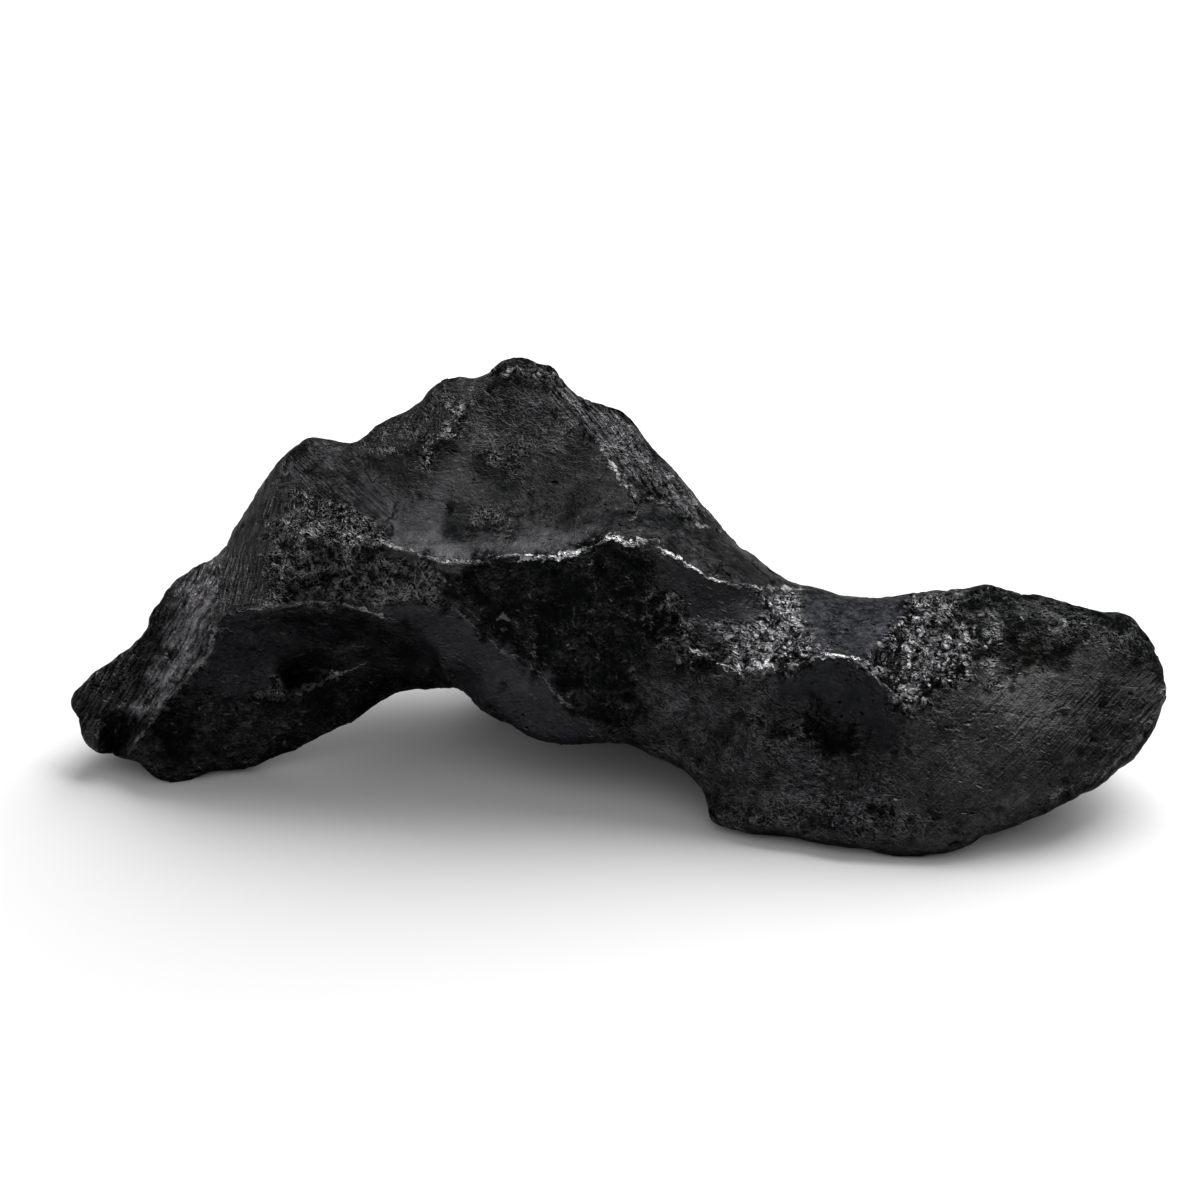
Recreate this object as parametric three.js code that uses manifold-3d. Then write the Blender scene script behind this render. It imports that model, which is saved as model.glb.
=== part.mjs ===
// An iron meteorite fragment lying on a flat surface: one solid lump of iron, in millimetres.
// X runs along its length, Y runs away from the viewer and Z is up. The origin is on the floor,
// under the middle of the lump's bounding box.
// Its near side is drawn on a sketch plane that faces a viewer looking down at VIEW_TILT:
// across and up lie in that plane, and toward is the height out of it, along the line of sight.
// Its far side is drawn as upright sections across the length.

import * as THREE from "three";
import Module from "manifold-3d";

const VIEW_TILT = THREE.MathUtils.degToRad(25);
const EYE_DISTANCE = 233;
const SKETCH_HEIGHT = 16.9; // of the sketch plane's middle over the floor

const NEAR_SPACING = 1.12; // between the points of the near side's mesh
const FAR_SPACING = 1.5;
const FAR_STRETCH = 1.75; // the far side is this much longer, top to bottom, than the outline is high
const RIM_ROW = 0.42; // inset of the row of points next to the outline
const RIM_CLEARANCE = RIM_ROW * 0.9; // least distance of that row's points from the others
const FILL_REACH = 90; // points are laid out this far from the middle before the outline cuts them
const FAR_CORNER = 1000; // of the triangle that the meshing starts from
const NEAR_SEED = 11;
const FAR_SEED = 57;
const CLEARANCE = 0.62; // least distance between points, as a share of the spacing
const JITTER = 0.16; // of the spacing, so that the mesh has no rows
const SOLVER_STEPS = 1500;
const SOLVER_TOLERANCE = 1e-9;
const LEAST_WEIGHT = 1e-9; // of a point that no equation holds

const SMOOTH_ROUNDS = 4;
const SMOOTH_IN = 0.5; // share of the way to the neighbours' middle, then a little more back out
const SMOOTH_OUT = -0.52;
const SHARP_LINE = 0.06; // a line less stiff than this keeps its edge through the smoothing
const HOLLOW_EDGE = 1.3; // 1 gives a hollow a sharp edge, 2 a soft one
const RIDGE_EDGE = 1.5;

const GRAIN_SIZE = 4.6; // of the broad unevenness
const GRAIN_HEIGHT = 0.26;
const GRAIN_SEED = 3;
const FINE_GRAIN_SIZE = 2.1;
const FINE_GRAIN_HEIGHT = 0.16;
const FINE_GRAIN_SEED = 71;
const MIX_PLACE = [374761393, 668265263, 2147483647]; // large odd numbers that scatter a place's bits
const MIX_FIRST = 1274126177;
const MIX_SECOND = 2246822519;

const IRON_COLOUR = 0x2c2c2f;
const FLOOR_BLOCK = 300; // side of the block that cuts the underside flat

// The outline that the viewer sees, clockwise from the left tip:
// across, up, toward, and the radius of the rounded edge there.
const OUTLINE = [
  // left tip and the long slope up to the shoulder
  [-48.2, -8.8, -5.5, 1.1],
  [-46.8, -7.2, -6.0, 1.1],
  [-45.2, -5.9, -6.5, 1.1],
  [-44.0, -5.0, -6.8, 1.1],
  [-42.3, -3.1, -7.2, 1.1],
  [-40.8, -1.1, -7.6, 1.1],
  [-39.5, 0.5, -8.0, 1.2],
  [-38.3, 2.1, -8.2, 1.2],
  [-36.9, 3.0, -8.2, 1.3],
  [-36.0, 3.4, -8.2, 1.3],
  [-34.2, 4.9, -8.2, 1.5],
  [-32.9, 7.4, -8.0, 1.5],
  [-31.1, 10.2, -7.6, 1.5],
  [-28.7, 13.2, -7.0, 1.5],
  [-27.6, 13.8, -6.8, 1.3],
  [-26.7, 14.8, -6.8, 1.1],
  // saddle and the climb to the summit
  [-25.3, 14.6, -7.4, 1.2],
  [-23.7, 14.3, -8.2, 1.2],
  [-22.7, 14.1, -8.8, 1.3],
  [-21.7, 14.8, -9.2, 1.3],
  [-20.8, 15.7, -9.5, 1.4],
  [-18.9, 16.95, -10.0, 1.5],
  [-17.6, 17.5, -10.0, 1.5],
  [-16.3, 18.3, -10.0, 1.5],
  [-15.0, 19.5, -10.0, 1.4],
  [-13.0, 20.3, -10.0, 1.3],
  [-11.4, 20.1, -9.9, 1.1],
  [-10.0, 20.8, -9.7, 1.1],
  [-9.3, 21.5, -9.6, 1.1],
  [-8.1, 22.0, -9.5, 1.2],
  [-6.6, 22.1, -9.5, 1.2],
  [-5.3, 21.5, -9.5, 1.1],
  [-4.1, 21.05, -9.5, 1.1],
  [-2.8, 19.4, -9.5, 1.3],
  // long slope down to the neck
  [-0.4, 18.2, -9.5, 1.4],
  [2.3, 17.1, -9.5, 1.3],
  [3.7, 15.7, -9.3, 1.3],
  [5.4, 13.4, -9.0, 1.3],
  [8.3, 10.3, -8.3, 1.2],
  [11.1, 7.0, -7.6, 1.1],
  [12.9, 5.05, -7.0, 1.0],
  [14.4, 3.8, -6.4, 1.0],
  [16.2, 2.4, -6.0, 1.0],
  [17.8, 1.2, -5.6, 1.1],
  // flat back edge of the right block
  [19.2, 1.2, -5.6, 1.4],
  [21.0, 0.5, -5.4, 1.7],
  [23.6, 0.15, -5.3, 1.8],
  [26.4, 0.3, -5.2, 1.8],
  [29.0, 0.85, -5.2, 1.5],
  [32.8, 1.05, -5.2, 1.5],
  [35.3, 1.6, -5.0, 1.4],
  [36.7, 1.05, -4.9, 1.5],
  [38.6, 0.4, -4.6, 1.6],
  [41.2, 0.1, -4.2, 1.8],
  [43.7, -0.5, -3.6, 1.8],
  [46.0, -0.9, -3.0, 1.8],
  // right end
  [48.2, -1.3, -2.2, 1.4],
  [48.9, -2.4, -1.7, 1.4],
  [50.2, -4.2, -0.9, 1.4],
  [51.4, -7.05, 0.2, 1.4],
  [52.0, -8.5, 0.9, 1.4],
  [51.4, -9.9, 1.5, 1.5],
  [50.2, -12.5, 2.4, 1.6],
  [48.9, -14.3, 3.0, 1.8],
  [47.3, -15.5, 3.5, 1.8],
  [45.0, -17.2, 4.3, 1.8],
  [42.5, -18.3, 5.0, 1.7],
  [39.6, -19.9, 6.2, 1.6],
  [37.3, -20.8, 7.0, 1.5],
  [35.1, -21.6, 7.8, 1.4],
  [33.8, -22.4, 8.2, 1.3],
  // front foot of the right block
  [31.9, -23.1, 8.7, 1.2],
  [29.0, -23.2, 8.7, 1.2],
  [25.8, -23.1, 8.3, 1.2],
  [23.2, -22.8, 7.9, 1.2],
  [20.0, -22.2, 7.2, 1.1],
  [16.8, -21.6, 6.3, 1.1],
  [13.3, -21.2, 5.5, 1.1],
  [11.7, -20.7, 4.9, 1.0],
  [10.1, -20.1, 4.0, 1.0],
  [9.3, -18.8, 3.3, 1.0],
  [9.4, -17.6, 2.9, 1.0],
  // front edge of the arch
  [8.5, -16.7, 2.5, 1.0],
  [7.5, -15.7, 2.1, 1.0],
  [5.95, -14.8, 1.7, 1.0],
  [4.4, -14.2, 1.4, 1.0],
  [2.6, -13.3, 0.9, 1.0],
  [1.1, -13.15, 0.6, 1.0],
  [-1.0, -13.2, 0.2, 1.0],
  [-3.0, -13.1, -0.1, 1.0],
  [-5.1, -12.7, -0.5, 1.0],
  [-6.6, -12.4, -0.9, 1.0],
  [-8.2, -11.7, -1.3, 1.0],
  [-9.4, -10.85, -1.8, 1.0],
  [-11.0, -9.9, -2.6, 1.0],
  [-12.1, -9.05, -3.5, 1.0],
  [-13.0, -8.1, -5.0, 0.9],
  [-13.8, -8.1, -7.0, 0.9],
  [-15.6, -7.85, -8.6, 1.0],
  [-17.8, -8.15, -9.0, 1.0],
  [-19.4, -8.7, -8.8, 1.0],
  [-20.8, -9.7, -8.3, 1.0],
  [-23.2, -11.6, -7.5, 1.0],
  [-25.0, -12.5, -7.0, 1.0],
  [-26.8, -13.3, -6.5, 1.0],
  [-28.9, -14.1, -6.0, 1.0],
  [-30.8, -15.0, -5.5, 1.0],
  [-32.7, -15.5, -5.2, 1.0],
  // left foot
  [-35.0, -15.6, -4.8, 1.0],
  [-37.9, -16.3, -4.2, 1.0],
  [-38.9, -16.7, -3.9, 1.0],
  [-40.0, -16.4, -3.8, 1.0],
  [-41.25, -15.6, -3.8, 0.9],
  [-42.2, -14.5, -4.0, 0.8],
  [-43.4, -14.5, -4.0, 0.8],
  [-44.4, -13.9, -4.2, 0.8],
  [-45.4, -14.3, -4.2, 0.9],
  [-46.25, -13.7, -4.4, 1.0],
  [-47.2, -12.4, -4.8, 1.0],
  [-47.3, -10.7, -5.1, 1.0],
  [-48.3, -9.8, -5.4, 1.0],
];

// Ridges, rims and ledges of the near side: across, up, toward. A line's stiffness runs from 0,
// a sharp edge, to 1, where the surface passes over it smoothly.
const NEAR_LINES = {
  bowl_front_crest: {
    stiffness: 0,
    points: [
      [-19.9, 5.15, 4.6],
      [-18.6, 4.5, 5.2],
      [-17.1, 4.4, 5.6],
      [-15.8, 3.9, 6.0],
      [-14.5, 3.4, 6.3],
      [-13.0, 3.2, 6.4],
      [-11.7, 3.3, 6.4],
      [-9.9, 3.6, 6.2],
      [-8.1, 4.0, 6.1],
      [-6.8, 4.0, 6.2],
      [-5.3, 3.8, 6.4],
      [-3.7, 4.1, 6.3],
      [-2.2, 4.3, 6.2],
      [-0.9, 4.9, 5.9],
      [0.4, 5.5, 5.6],
      [1.6, 5.7, 5.5],
      [2.7, 5.0, 5.7],
    ],
  },
  bowl_left_rim: {
    stiffness: 0.02,
    points: [
      [-28.0, 11.9, -3.5],
      [-26.3, 10.4, -1.7],
      [-24.3, 10.0, -0.5],
      [-22.7, 8.9, 1.1],
      [-21.4, 7.5, 2.7],
      [-20.4, 6.3, 4.0],
    ],
  },
  bowl_right_rim: {
    stiffness: 0.02,
    points: [
      [3.95, 9.1, -1.9],
      [3.3, 7.7, 0.9],
      [2.2, 6.6, 3.4],
    ],
  },
  upper_right_rim: {
    stiffness: 0.01,
    points: [
      [-3.2, 15.8, -6.7],
      [-0.9, 15.0, -6.4],
      [0.1, 13.7, -5.6],
      [1.1, 12.2, -4.5],
      [2.2, 10.4, -3.0],
      [3.95, 9.7, -2.3],
      [6.0, 8.9, -2.3],
      [9.1, 6.8, -2.2],
      [12.0, 4.6, -2.2],
      [14.8, 2.7, -2.8],
    ],
  },
  summit_crest: {
    stiffness: 0.05,
    points: [
      [-9.9, 20.0, -8.2],
      [-8.4, 20.3, -8.1],
      [-6.6, 20.7, -8.1],
      [-5.0, 20.15, -8.0],
      [-2.8, 18.9, -8.1],
    ],
  },
  summit_spur: {
    stiffness: 0,
    points: [
      [-12.5, 17.5, -7.0],
      [-13.0, 16.3, -6.0],
      [-14.0, 15.15, -5.0],
      [-15.0, 14.4, -4.3],
      [-15.9, 13.4, -3.7],
    ],
  },
  saddle_line: {
    stiffness: 0.03,
    points: [
      [-17.6, 13.5, -5.0],
      [-19.6, 13.7, -6.4],
      [-21.4, 13.4, -7.3],
    ],
  },
  neck_crest: {
    stiffness: 0,
    points: [
      [3.9, 5.3, 5.2],
      [4.9, 5.05, 4.9],
      [6.5, 4.0, 4.7],
      [8.3, 3.1, 4.4],
      [9.8, 2.0, 4.2],
      [11.3, 1.5, 3.7],
      [12.6, 1.6, 2.8],
      [15.2, 1.1, 0.6],
    ],
  },
  neck_left_edge: {
    stiffness: 0.05,
    points: [
      [3.7, 4.1, 5.6],
      [4.7, 2.6, 5.3],
      [4.7, 0.6, 5.5],
      [5.6, -1.4, 5.4],
      [6.6, -2.8, 5.5],
    ],
  },
  neck_lower_crest: {
    stiffness: 0,
    points: [
      [7.7, -3.8, 5.8],
      [8.8, -4.7, 6.1],
      [10.3, -5.2, 6.4],
      [11.6, -6.1, 6.8],
      [13.1, -6.7, 7.0],
      [14.9, -6.1, 7.0],
      [17.1, -6.25, 7.0],
      [18.4, -5.6, 6.8],
      [20.7, -5.0, 6.7],
      [22.9, -5.3, 7.0],
      [24.5, -6.6, 7.6],
      [26.4, -8.2, 8.2],
      [27.6, -9.5, 8.6],
    ],
  },
  block_right_crest: {
    stiffness: 0.05,
    points: [
      [28.8, -9.8, 8.6],
      [30.0, -8.7, 8.1],
      [31.9, -7.7, 7.5],
      [33.6, -7.05, 7.0],
    ],
  },
  block_soft_ridge: {
    stiffness: 0.2,
    points: [
      [32.6, -8.9, 7.9],
      [30.2, -10.1, 8.6],
      [28.2, -11.6, 8.7],
    ],
  },
  block_bottom_bevel: {
    stiffness: 0.1,
    points: [
      [14.6, -20.3, 7.0],
      [17.3, -20.2, 7.7],
      [20.2, -20.3, 8.6],
      [24.5, -20.7, 9.5],
      [29.6, -20.8, 10.1],
      [33.0, -20.2, 9.9],
    ],
  },
  end_bevel: {
    stiffness: 0.2,
    points: [
      [50.3, -9.6, 3.2],
      [48.7, -12.0, 4.6],
      [47.0, -14.3, 5.8],
      [43.9, -16.3, 7.2],
      [39.8, -17.9, 8.5],
    ],
  },
  arch_upper_lip: {
    stiffness: 0,
    points: [
      [-13.3, -0.7, 4.0],
      [-11.7, -2.3, 3.0],
      [-10.7, -3.8, 2.3],
      [-8.9, -4.8, 2.0],
      [-6.6, -5.6, 2.2],
      [-5.3, -6.6, 2.3],
      [-4.05, -8.4, 2.1],
      [-2.5, -9.9, 2.0],
      [-0.7, -11.7, 1.9],
    ],
  },
  arch_near_edge: {
    stiffness: 0,
    points: [
      [-16.2, -3.4, 0.9],
      [-14.8, -5.0, -0.2],
      [-13.9, -6.5, -1.4],
    ],
  },
  arch_far_side: {
    stiffness: 0.05,
    points: [
      [-16.5, -4.7, -2.6],
      [-15.4, -5.9, -4.8],
      [-14.6, -7.0, -6.2],
    ],
  },
  shoulder_lower_crest: {
    stiffness: 0,
    points: [
      [-34.2, -1.3, 1.8],
      [-33.1, -1.4, 2.1],
      [-31.5, -0.8, 2.6],
      [-29.8, -0.5, 3.0],
      [-27.7, -0.3, 3.4],
      [-25.8, -0.2, 3.6],
      [-23.1, -0.4, 3.7],
      [-21.2, -0.8, 3.6],
      [-20.0, -1.4, 3.3],
    ],
  },
  pitted_patch_edge: {
    stiffness: 0.05,
    points: [
      [-28.6, 6.9, 0.0],
      [-26.9, 5.9, 1.4],
      [-25.2, 5.4, 2.5],
      [-23.1, 4.8, 3.6],
      [-21.2, 4.8, 4.3],
    ],
  },
  leg_crest: {
    stiffness: 0,
    points: [
      [-35.0, -2.6, 1.5],
      [-35.4, -4.7, 1.0],
      [-36.7, -6.3, 0.6],
      [-38.5, -8.2, 0.0],
      [-39.5, -9.3, -0.4],
      [-40.8, -11.3, -1.0],
      [-42.1, -13.1, -1.7],
    ],
  },
  leg_upper_edge: {
    stiffness: 0.05,
    points: [
      [-34.5, 3.15, -2.6],
      [-34.7, 1.0, -0.6],
      [-34.9, -0.8, 1.0],
    ],
  },
  leg_inner_ridge: {
    stiffness: 0.02,
    points: [
      [-28.4, -8.4, -3.3],
      [-27.1, -8.2, -3.6],
      [-25.8, -7.8, -3.9],
      [-24.2, -6.9, -4.2],
      [-22.7, -6.3, -4.6],
    ],
  },
  leg_inner_spur: {
    stiffness: 0.05,
    points: [
      [-26.2, -3.3, -0.6],
      [-25.1, -4.7, -1.9],
      [-24.3, -5.6, -2.8],
    ],
  },
};

// Single places that the near side passes through: across, up, toward.
const NEAR_POINTS = [
  // bowl
  [-25.0, 12.6, -5.2],
  [-22.4, 11.6, -4.4],
  [-20.2, 9.2, -1.6],
  [-18.2, 6.8, 1.6],
  [-17.2, 10.4, -2.4],
  [-15.4, 7.2, 0.6],
  [-12.7, 7.0, 0.4],
  [-13.4, 11.2, -3.4],
  [-10.0, 8.4, -1.4],
  [-8.4, 12.1, -4.6],
  [-5.0, 8.2, -1.0],
  [-4.6, 12.2, -4.8],
  [-1.6, 7.4, 1.0],
  [0.4, 9.8, -2.2],
  [-10.2, 14.6, -6.2],
  [-10.6, 17.6, -7.6],
  [-6.4, 16.6, -7.2],
  // slopes round the summit
  [-16.4, 16.0, -7.4],
  [-19.0, 15.2, -7.9],
  [0.6, 16.2, -7.6],
  [3.2, 13.0, -6.2],
  [6.4, 10.6, -5.2],
  [9.6, 7.6, -4.6],
  // smooth facet behind the neck crest
  [6.0, 6.6, 1.2],
  [9.8, 4.2, 1.0],
  [13.4, 2.6, -0.4],
  // rough dark front under the bowl
  [-17.4, 1.6, 4.8],
  [-14.0, 0.9, 5.1],
  [-10.0, 0.2, 4.8],
  [-8.0, -2.4, 3.8],
  [-5.4, 0.6, 5.6],
  [-4.6, -3.4, 4.0],
  [-1.0, 1.2, 6.2],
  [-0.8, -2.4, 5.4],
  [-0.8, -6.4, 3.9],
  [2.2, 0.4, 6.4],
  [2.4, -4.2, 5.4],
  [2.2, -8.6, 3.9],
  [2.0, -11.4, 2.9],
  [5.2, -6.2, 5.4],
  [5.4, -10.6, 4.2],
  // smooth band of the arch
  [-18.0, -2.0, 2.4],
  [-15.2, -2.2, 2.6],
  [-12.6, -5.2, 0.4],
  [-10.8, -7.2, -0.3],
  [-7.6, -8.4, 0.5],
  [-4.4, -10.8, 0.8],
  // concave ramp of the neck
  [8.0, 0.6, 4.4],
  [10.4, -1.6, 4.4],
  [13.6, -1.6, 3.4],
  [12.2, -4.2, 5.0],
  // top of the right block
  [16.6, -2.8, 2.8],
  [18.6, -0.9, -0.6],
  [21.6, -2.2, 1.4],
  [25.4, -2.0, 0.6],
  [25.2, -4.6, 4.6],
  [28.2, -6.2, 4.8],
  [29.4, -2.0, 0.0],
  [31.8, -4.6, 3.6],
  [34.6, -4.4, 3.2],
  [36.6, -1.8, -0.2],
  // front of the right block
  [8.6, -8.2, 6.0],
  [9.8, -12.8, 5.6],
  [11.4, -16.6, 5.9],
  [13.4, -10.2, 7.0],
  [15.8, -14.8, 7.4],
  [17.8, -9.0, 6.2],
  [18.2, -12.2, 7.3],
  [21.6, -8.0, 5.0],
  [20.0, -16.4, 7.8],
  [23.0, -13.4, 7.0],
  [24.8, -11.2, 6.8],
  [26.4, -16.4, 8.8],
  [29.6, -14.2, 9.3],
  [33.6, -13.0, 9.0],
  [34.4, -17.4, 9.7],
  [38.4, -11.4, 7.7],
  [39.4, -14.8, 8.2],
  // rounded right end
  [35.4, -7.6, 6.4],
  [39.8, -4.4, 2.0],
  [40.8, -7.8, 4.9],
  [44.6, -4.6, 1.9],
  [44.4, -10.8, 5.7],
  [47.6, -6.8, 2.4],
  [49.2, -6.3, 1.2],
  // shoulder
  [-31.4, 7.2, -3.2],
  [-31.6, 3.4, -0.6],
  [-28.8, 9.4, -2.6],
  [-28.8, 2.6, 1.6],
  [-25.4, 1.8, 2.2],
  [-22.4, 1.4, 3.4],
  [-24.8, 7.9, 0.8],
  // outer slope of the left leg
  [-36.6, 1.2, -4.4],
  [-37.4, -2.4, -2.6],
  [-39.8, -5.4, -3.0],
  [-42.6, -6.8, -4.6],
  [-43.2, -10.0, -3.2],
  [-45.6, -9.4, -4.4],
  // toes of the left leg
  [-43.9, -12.5, -5.4],
  [-45.8, -12.3, -3.2],
  [-40.9, -14.0, -2.5],
  // inner face of the left leg
  [-38.4, -10.9, -2.5],
  [-36.4, -9.2, -1.2],
  [-36.8, -13.4, -3.0],
  [-33.6, -5.2, -0.6],
  [-33.2, -10.4, -2.8],
  [-30.4, -4.0, -0.6],
  [-30.0, -8.4, -2.2],
  [-29.4, -11.6, -4.2],
  [-27.8, -5.4, -2.4],
  [-26.5, -6.7, -5.0],
  [-24.6, -9.8, -5.6],
  [-22.6, -3.0, -0.4],
  [-20.4, -4.6, -2.6],
  [-19.0, -6.4, -5.2],
];

// The far side: upright sections across the length, each a list of [Y, Z] from the upper edge
// of the outline, over the back and along the underside, to the lower edge of the outline.
const FAR_SECTIONS = [
  { across: -45.0, points: [[5.0, 7.2], [5.3, 5.0], [3.8, 2.6], [0.8, 1.3]] },
  { across: -39.0, points: [[10.3, 12.0], [11.8, 8.8], [10.8, 5.0], [7.4, 2.0], [2.6, 0.1], [-0.6, -0.4]] },
  { across: -33.0, points: [[13.4, 18.4], [16.0, 14.4], [15.8, 9.8], [12.6, 6.0], [8.0, 3.4], [3.0, 1.4]] },
  {
    across: -26.0,
    points: [[15.6, 25.4], [18.8, 21.0], [19.4, 15.8], [17.2, 11.2], [13.0, 8.4], [7.6, 6.0], [3.4, 3.4]],
  },
  {
    across: -18.0,
    points: [[19.4, 26.8], [22.2, 21.0], [22.4, 15.0], [20.2, 10.4], [16.0, 8.0], [10.6, 7.0]],
  },
  {
    across: -10.0,
    points: [
      [20.8, 29.6], [23.4, 23.4], [24.0, 16.4], [22.6, 10.0], [19.4, 5.6], [14.2, 5.2], [8.6, 7.6],
      [2.4, 8.2],
    ],
  },
  {
    across: -2.0,
    points: [
      [20.4, 27.4], [23.4, 20.8], [24.4, 13.6], [23.4, 6.8], [21.2, 1.8], [17.6, -0.4], [13.6, 1.0],
      [8.8, 5.0], [3.0, 6.6], [-2.0, 6.2],
    ],
  },
  {
    across: 6.0,
    points: [
      [17.6, 22.8], [20.6, 16.8], [20.8, 10.2], [18.8, 4.2], [15.4, 0.4], [11.4, 0.0], [6.0, 2.8],
      [-0.6, 4.0],
    ],
  },
  {
    across: 13.0,
    points: [[12.2, 16.6], [15.4, 12.2], [15.6, 7.4], [12.8, 3.2], [8.0, 0.8], [1.0, 0.6], [-6.4, 0.1]],
  },
  {
    across: 21.0,
    points: [[8.8, 13.4], [11.8, 9.8], [12.0, 5.8], [9.8, 2.2], [5.0, 0.2], [-2.0, -0.4], [-9.0, 0.0]],
  },
  {
    across: 30.0,
    points: [[8.6, 13.8], [11.2, 9.8], [11.0, 5.8], [8.2, 2.4], [3.0, 0.4], [-4.0, -0.4], [-11.0, -0.2]],
  },
  { across: 39.0, points: [[6.8, 13.6], [8.6, 10.0], [7.6, 6.4], [4.2, 3.4], [-1.0, 1.8], [-7.0, 1.4]] },
  { across: 46.0, points: [[3.8, 12.6], [4.0, 9.2], [1.2, 6.0], [-4.0, 4.4]] },
  { across: 50.0, points: [[-0.2, 10.8], [-0.8, 8.6], [-3.8, 7.2]] },
];

// Ridges of the far side. Places are across and share, where share runs from 0 at the upper edge
// of the outline to 1 at its lower edge. A ridge stands out by height and is as wide as width to each side.
const FAR_RIDGES = [
  {
    width: 4.4,
    height: 1.5,
    points: [
      [-42.5, 0.38], [-38.0, 0.33], [-33.5, 0.36], [-27.5, 0.3], [-20.5, 0.37], [-13.5, 0.32],
      [-6.0, 0.39],
    ],
  },
  { width: 4.2, height: 1.4, points: [[-6.0, 0.39], [0.5, 0.35], [6.0, 0.37], [11.5, 0.3], [16.0, 0.33]] },
  { width: 3.6, height: 1.2, points: [[-20.5, 0.37], [-18.6, 0.5], [-15.4, 0.62], [-13.8, 0.72]] },
  { width: 3.6, height: 1.3, points: [[-6.0, 0.39], [-4.4, 0.49], [-2.4, 0.56]] },
  { width: 3.4, height: 1.2, points: [[-25.5, 0.06], [-24.0, 0.16], [-22.6, 0.27], [-20.5, 0.37]] },
  { width: 3.2, height: 1.0, points: [[-5.0, 0.07], [-4.2, 0.17], [-5.4, 0.29], [-6.0, 0.39]] },
  {
    width: 4.0,
    height: 1.3,
    points: [[16.0, 0.33], [21.5, 0.27], [27.5, 0.35], [34.0, 0.28], [40.0, 0.36], [45.5, 0.42]],
  },
  { width: 3.4, height: 1.0, points: [[27.5, 0.35], [26.6, 0.44], [24.0, 0.52]] },
  { width: 3.0, height: 0.9, points: [[-33.5, 0.36], [-32.4, 0.5], [-30.0, 0.62]] },
];

// Hollows like thumb prints in the far side and the underside:
// across and share of the middle, radius, depth.
const FAR_HOLLOWS = [
  { at: [-30.0, 0.17], radius: 5.6, depth: 1.3 },
  { at: [-17.5, 0.19], radius: 7.2, depth: 2.2 },
  { at: [-10.4, 0.2], radius: 6.2, depth: 1.7 },
  { at: [0.6, 0.18], radius: 7.0, depth: 2.1 },
  { at: [8.0, 0.17], radius: 5.2, depth: 1.3 },
  { at: [-40.6, 0.17], radius: 4.0, depth: 0.8 },
  { at: [-37.0, 0.52], radius: 5.0, depth: 1.1 },
  { at: [-26.0, 0.48], radius: 6.4, depth: 1.8 },
  { at: [-12.2, 0.49], radius: 6.6, depth: 2.0 },
  { at: [3.6, 0.5], radius: 5.4, depth: 1.6 },
  { at: [11.0, 0.45], radius: 5.6, depth: 1.5 },
  { at: [18.6, 0.17], radius: 4.6, depth: 0.9 },
  { at: [27.0, 0.2], radius: 5.6, depth: 1.4 },
  { at: [33.8, 0.44], radius: 6.0, depth: 1.6 },
  { at: [20.8, 0.45], radius: 5.0, depth: 1.2 },
  { at: [40.6, 0.22], radius: 4.8, depth: 1.1 },
  { at: [43.0, 0.6], radius: 4.6, depth: 0.9 },
  { at: [-23.0, 0.76], radius: 5.4, depth: 1.1 },
  { at: [-8.0, 0.82], radius: 5.2, depth: 1.2 },
  { at: [1.6, 0.84], radius: 4.6, depth: 1.0 },
  { at: [8.4, 0.78], radius: 4.6, depth: 0.9 },
];

// Deep pits and grooves of the near side: the middle and length of the groove in the sketch,
// its direction in degrees, its radius and its depth.
const NEAR_PITS = [
  { at: [-26.5, -6.7], length: 2.0, turn: 10, radius: 1.9, depth: 1.2 },
  { at: [-43.9, -12.5], length: 1.4, turn: 80, radius: 1.8, depth: 1.2 },
  { at: [-38.4, -10.9], length: 1.6, turn: 60, radius: 2.4, depth: 0.9 },
  { at: [22.1, -12.8], length: 4.4, turn: -54, radius: 2.7, depth: 1.1 },
  { at: [26.2, -5.6], length: 0.8, turn: -40, radius: 1.9, depth: 0.7 },
  { at: [35.2, -5.4], length: 3.4, turn: 84, radius: 1.9, depth: 0.9 },
  { at: [40.1, -4.6], length: 3.0, turn: -14, radius: 2.6, depth: 0.6 },
  { at: [-12.7, 7.1], length: 2.0, turn: 0, radius: 3.0, depth: 0.5 },
  { at: [-25.0, 1.8], length: 3.4, turn: 4, radius: 2.2, depth: 0.8 },
  { at: [-9.6, 0.6], length: 2.6, turn: -30, radius: 2.2, depth: 0.5 },
  { at: [1.6, 1.6], length: 1.8, turn: 70, radius: 2.4, depth: 0.8 },
  { at: [-2.0, -4.6], length: 2.8, turn: -35, radius: 2.3, depth: 0.6 },
  { at: [9.4, -10.9], length: 3.6, turn: -22, radius: 1.9, depth: 0.6 },
  { at: [17.6, -12.6], length: 3.0, turn: -16, radius: 1.9, depth: 0.6 },
];

// A point of the sketch, as a point of the part.
function fromSketch(across, up, toward) {
  const shrink = 1 - toward / EYE_DISTANCE;
  const height = up * shrink;
  return new THREE.Vector3(
    across * shrink,
    height * Math.sin(VIEW_TILT) - toward * Math.cos(VIEW_TILT),
    height * Math.cos(VIEW_TILT) + toward * Math.sin(VIEW_TILT) + SKETCH_HEIGHT,
  );
}

// How far out of the sketch plane a point of the part lies.
function towardOf(y, z) {
  return (z - SKETCH_HEIGHT) * Math.sin(VIEW_TILT) - y * Math.cos(VIEW_TILT);
}

// A repeatable number from 0 to 1 for whole numbers x, y and z.
function hash(x, y, z) {
  let h = (x * MIX_PLACE[0] + y * MIX_PLACE[1] + z * MIX_PLACE[2]) | 0;
  h = Math.imul(h ^ (h >>> 13), MIX_FIRST);
  h = Math.imul(h ^ (h >>> 16), MIX_SECOND);
  return ((h ^ (h >>> 13)) >>> 0) / 4294967296;
}

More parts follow.
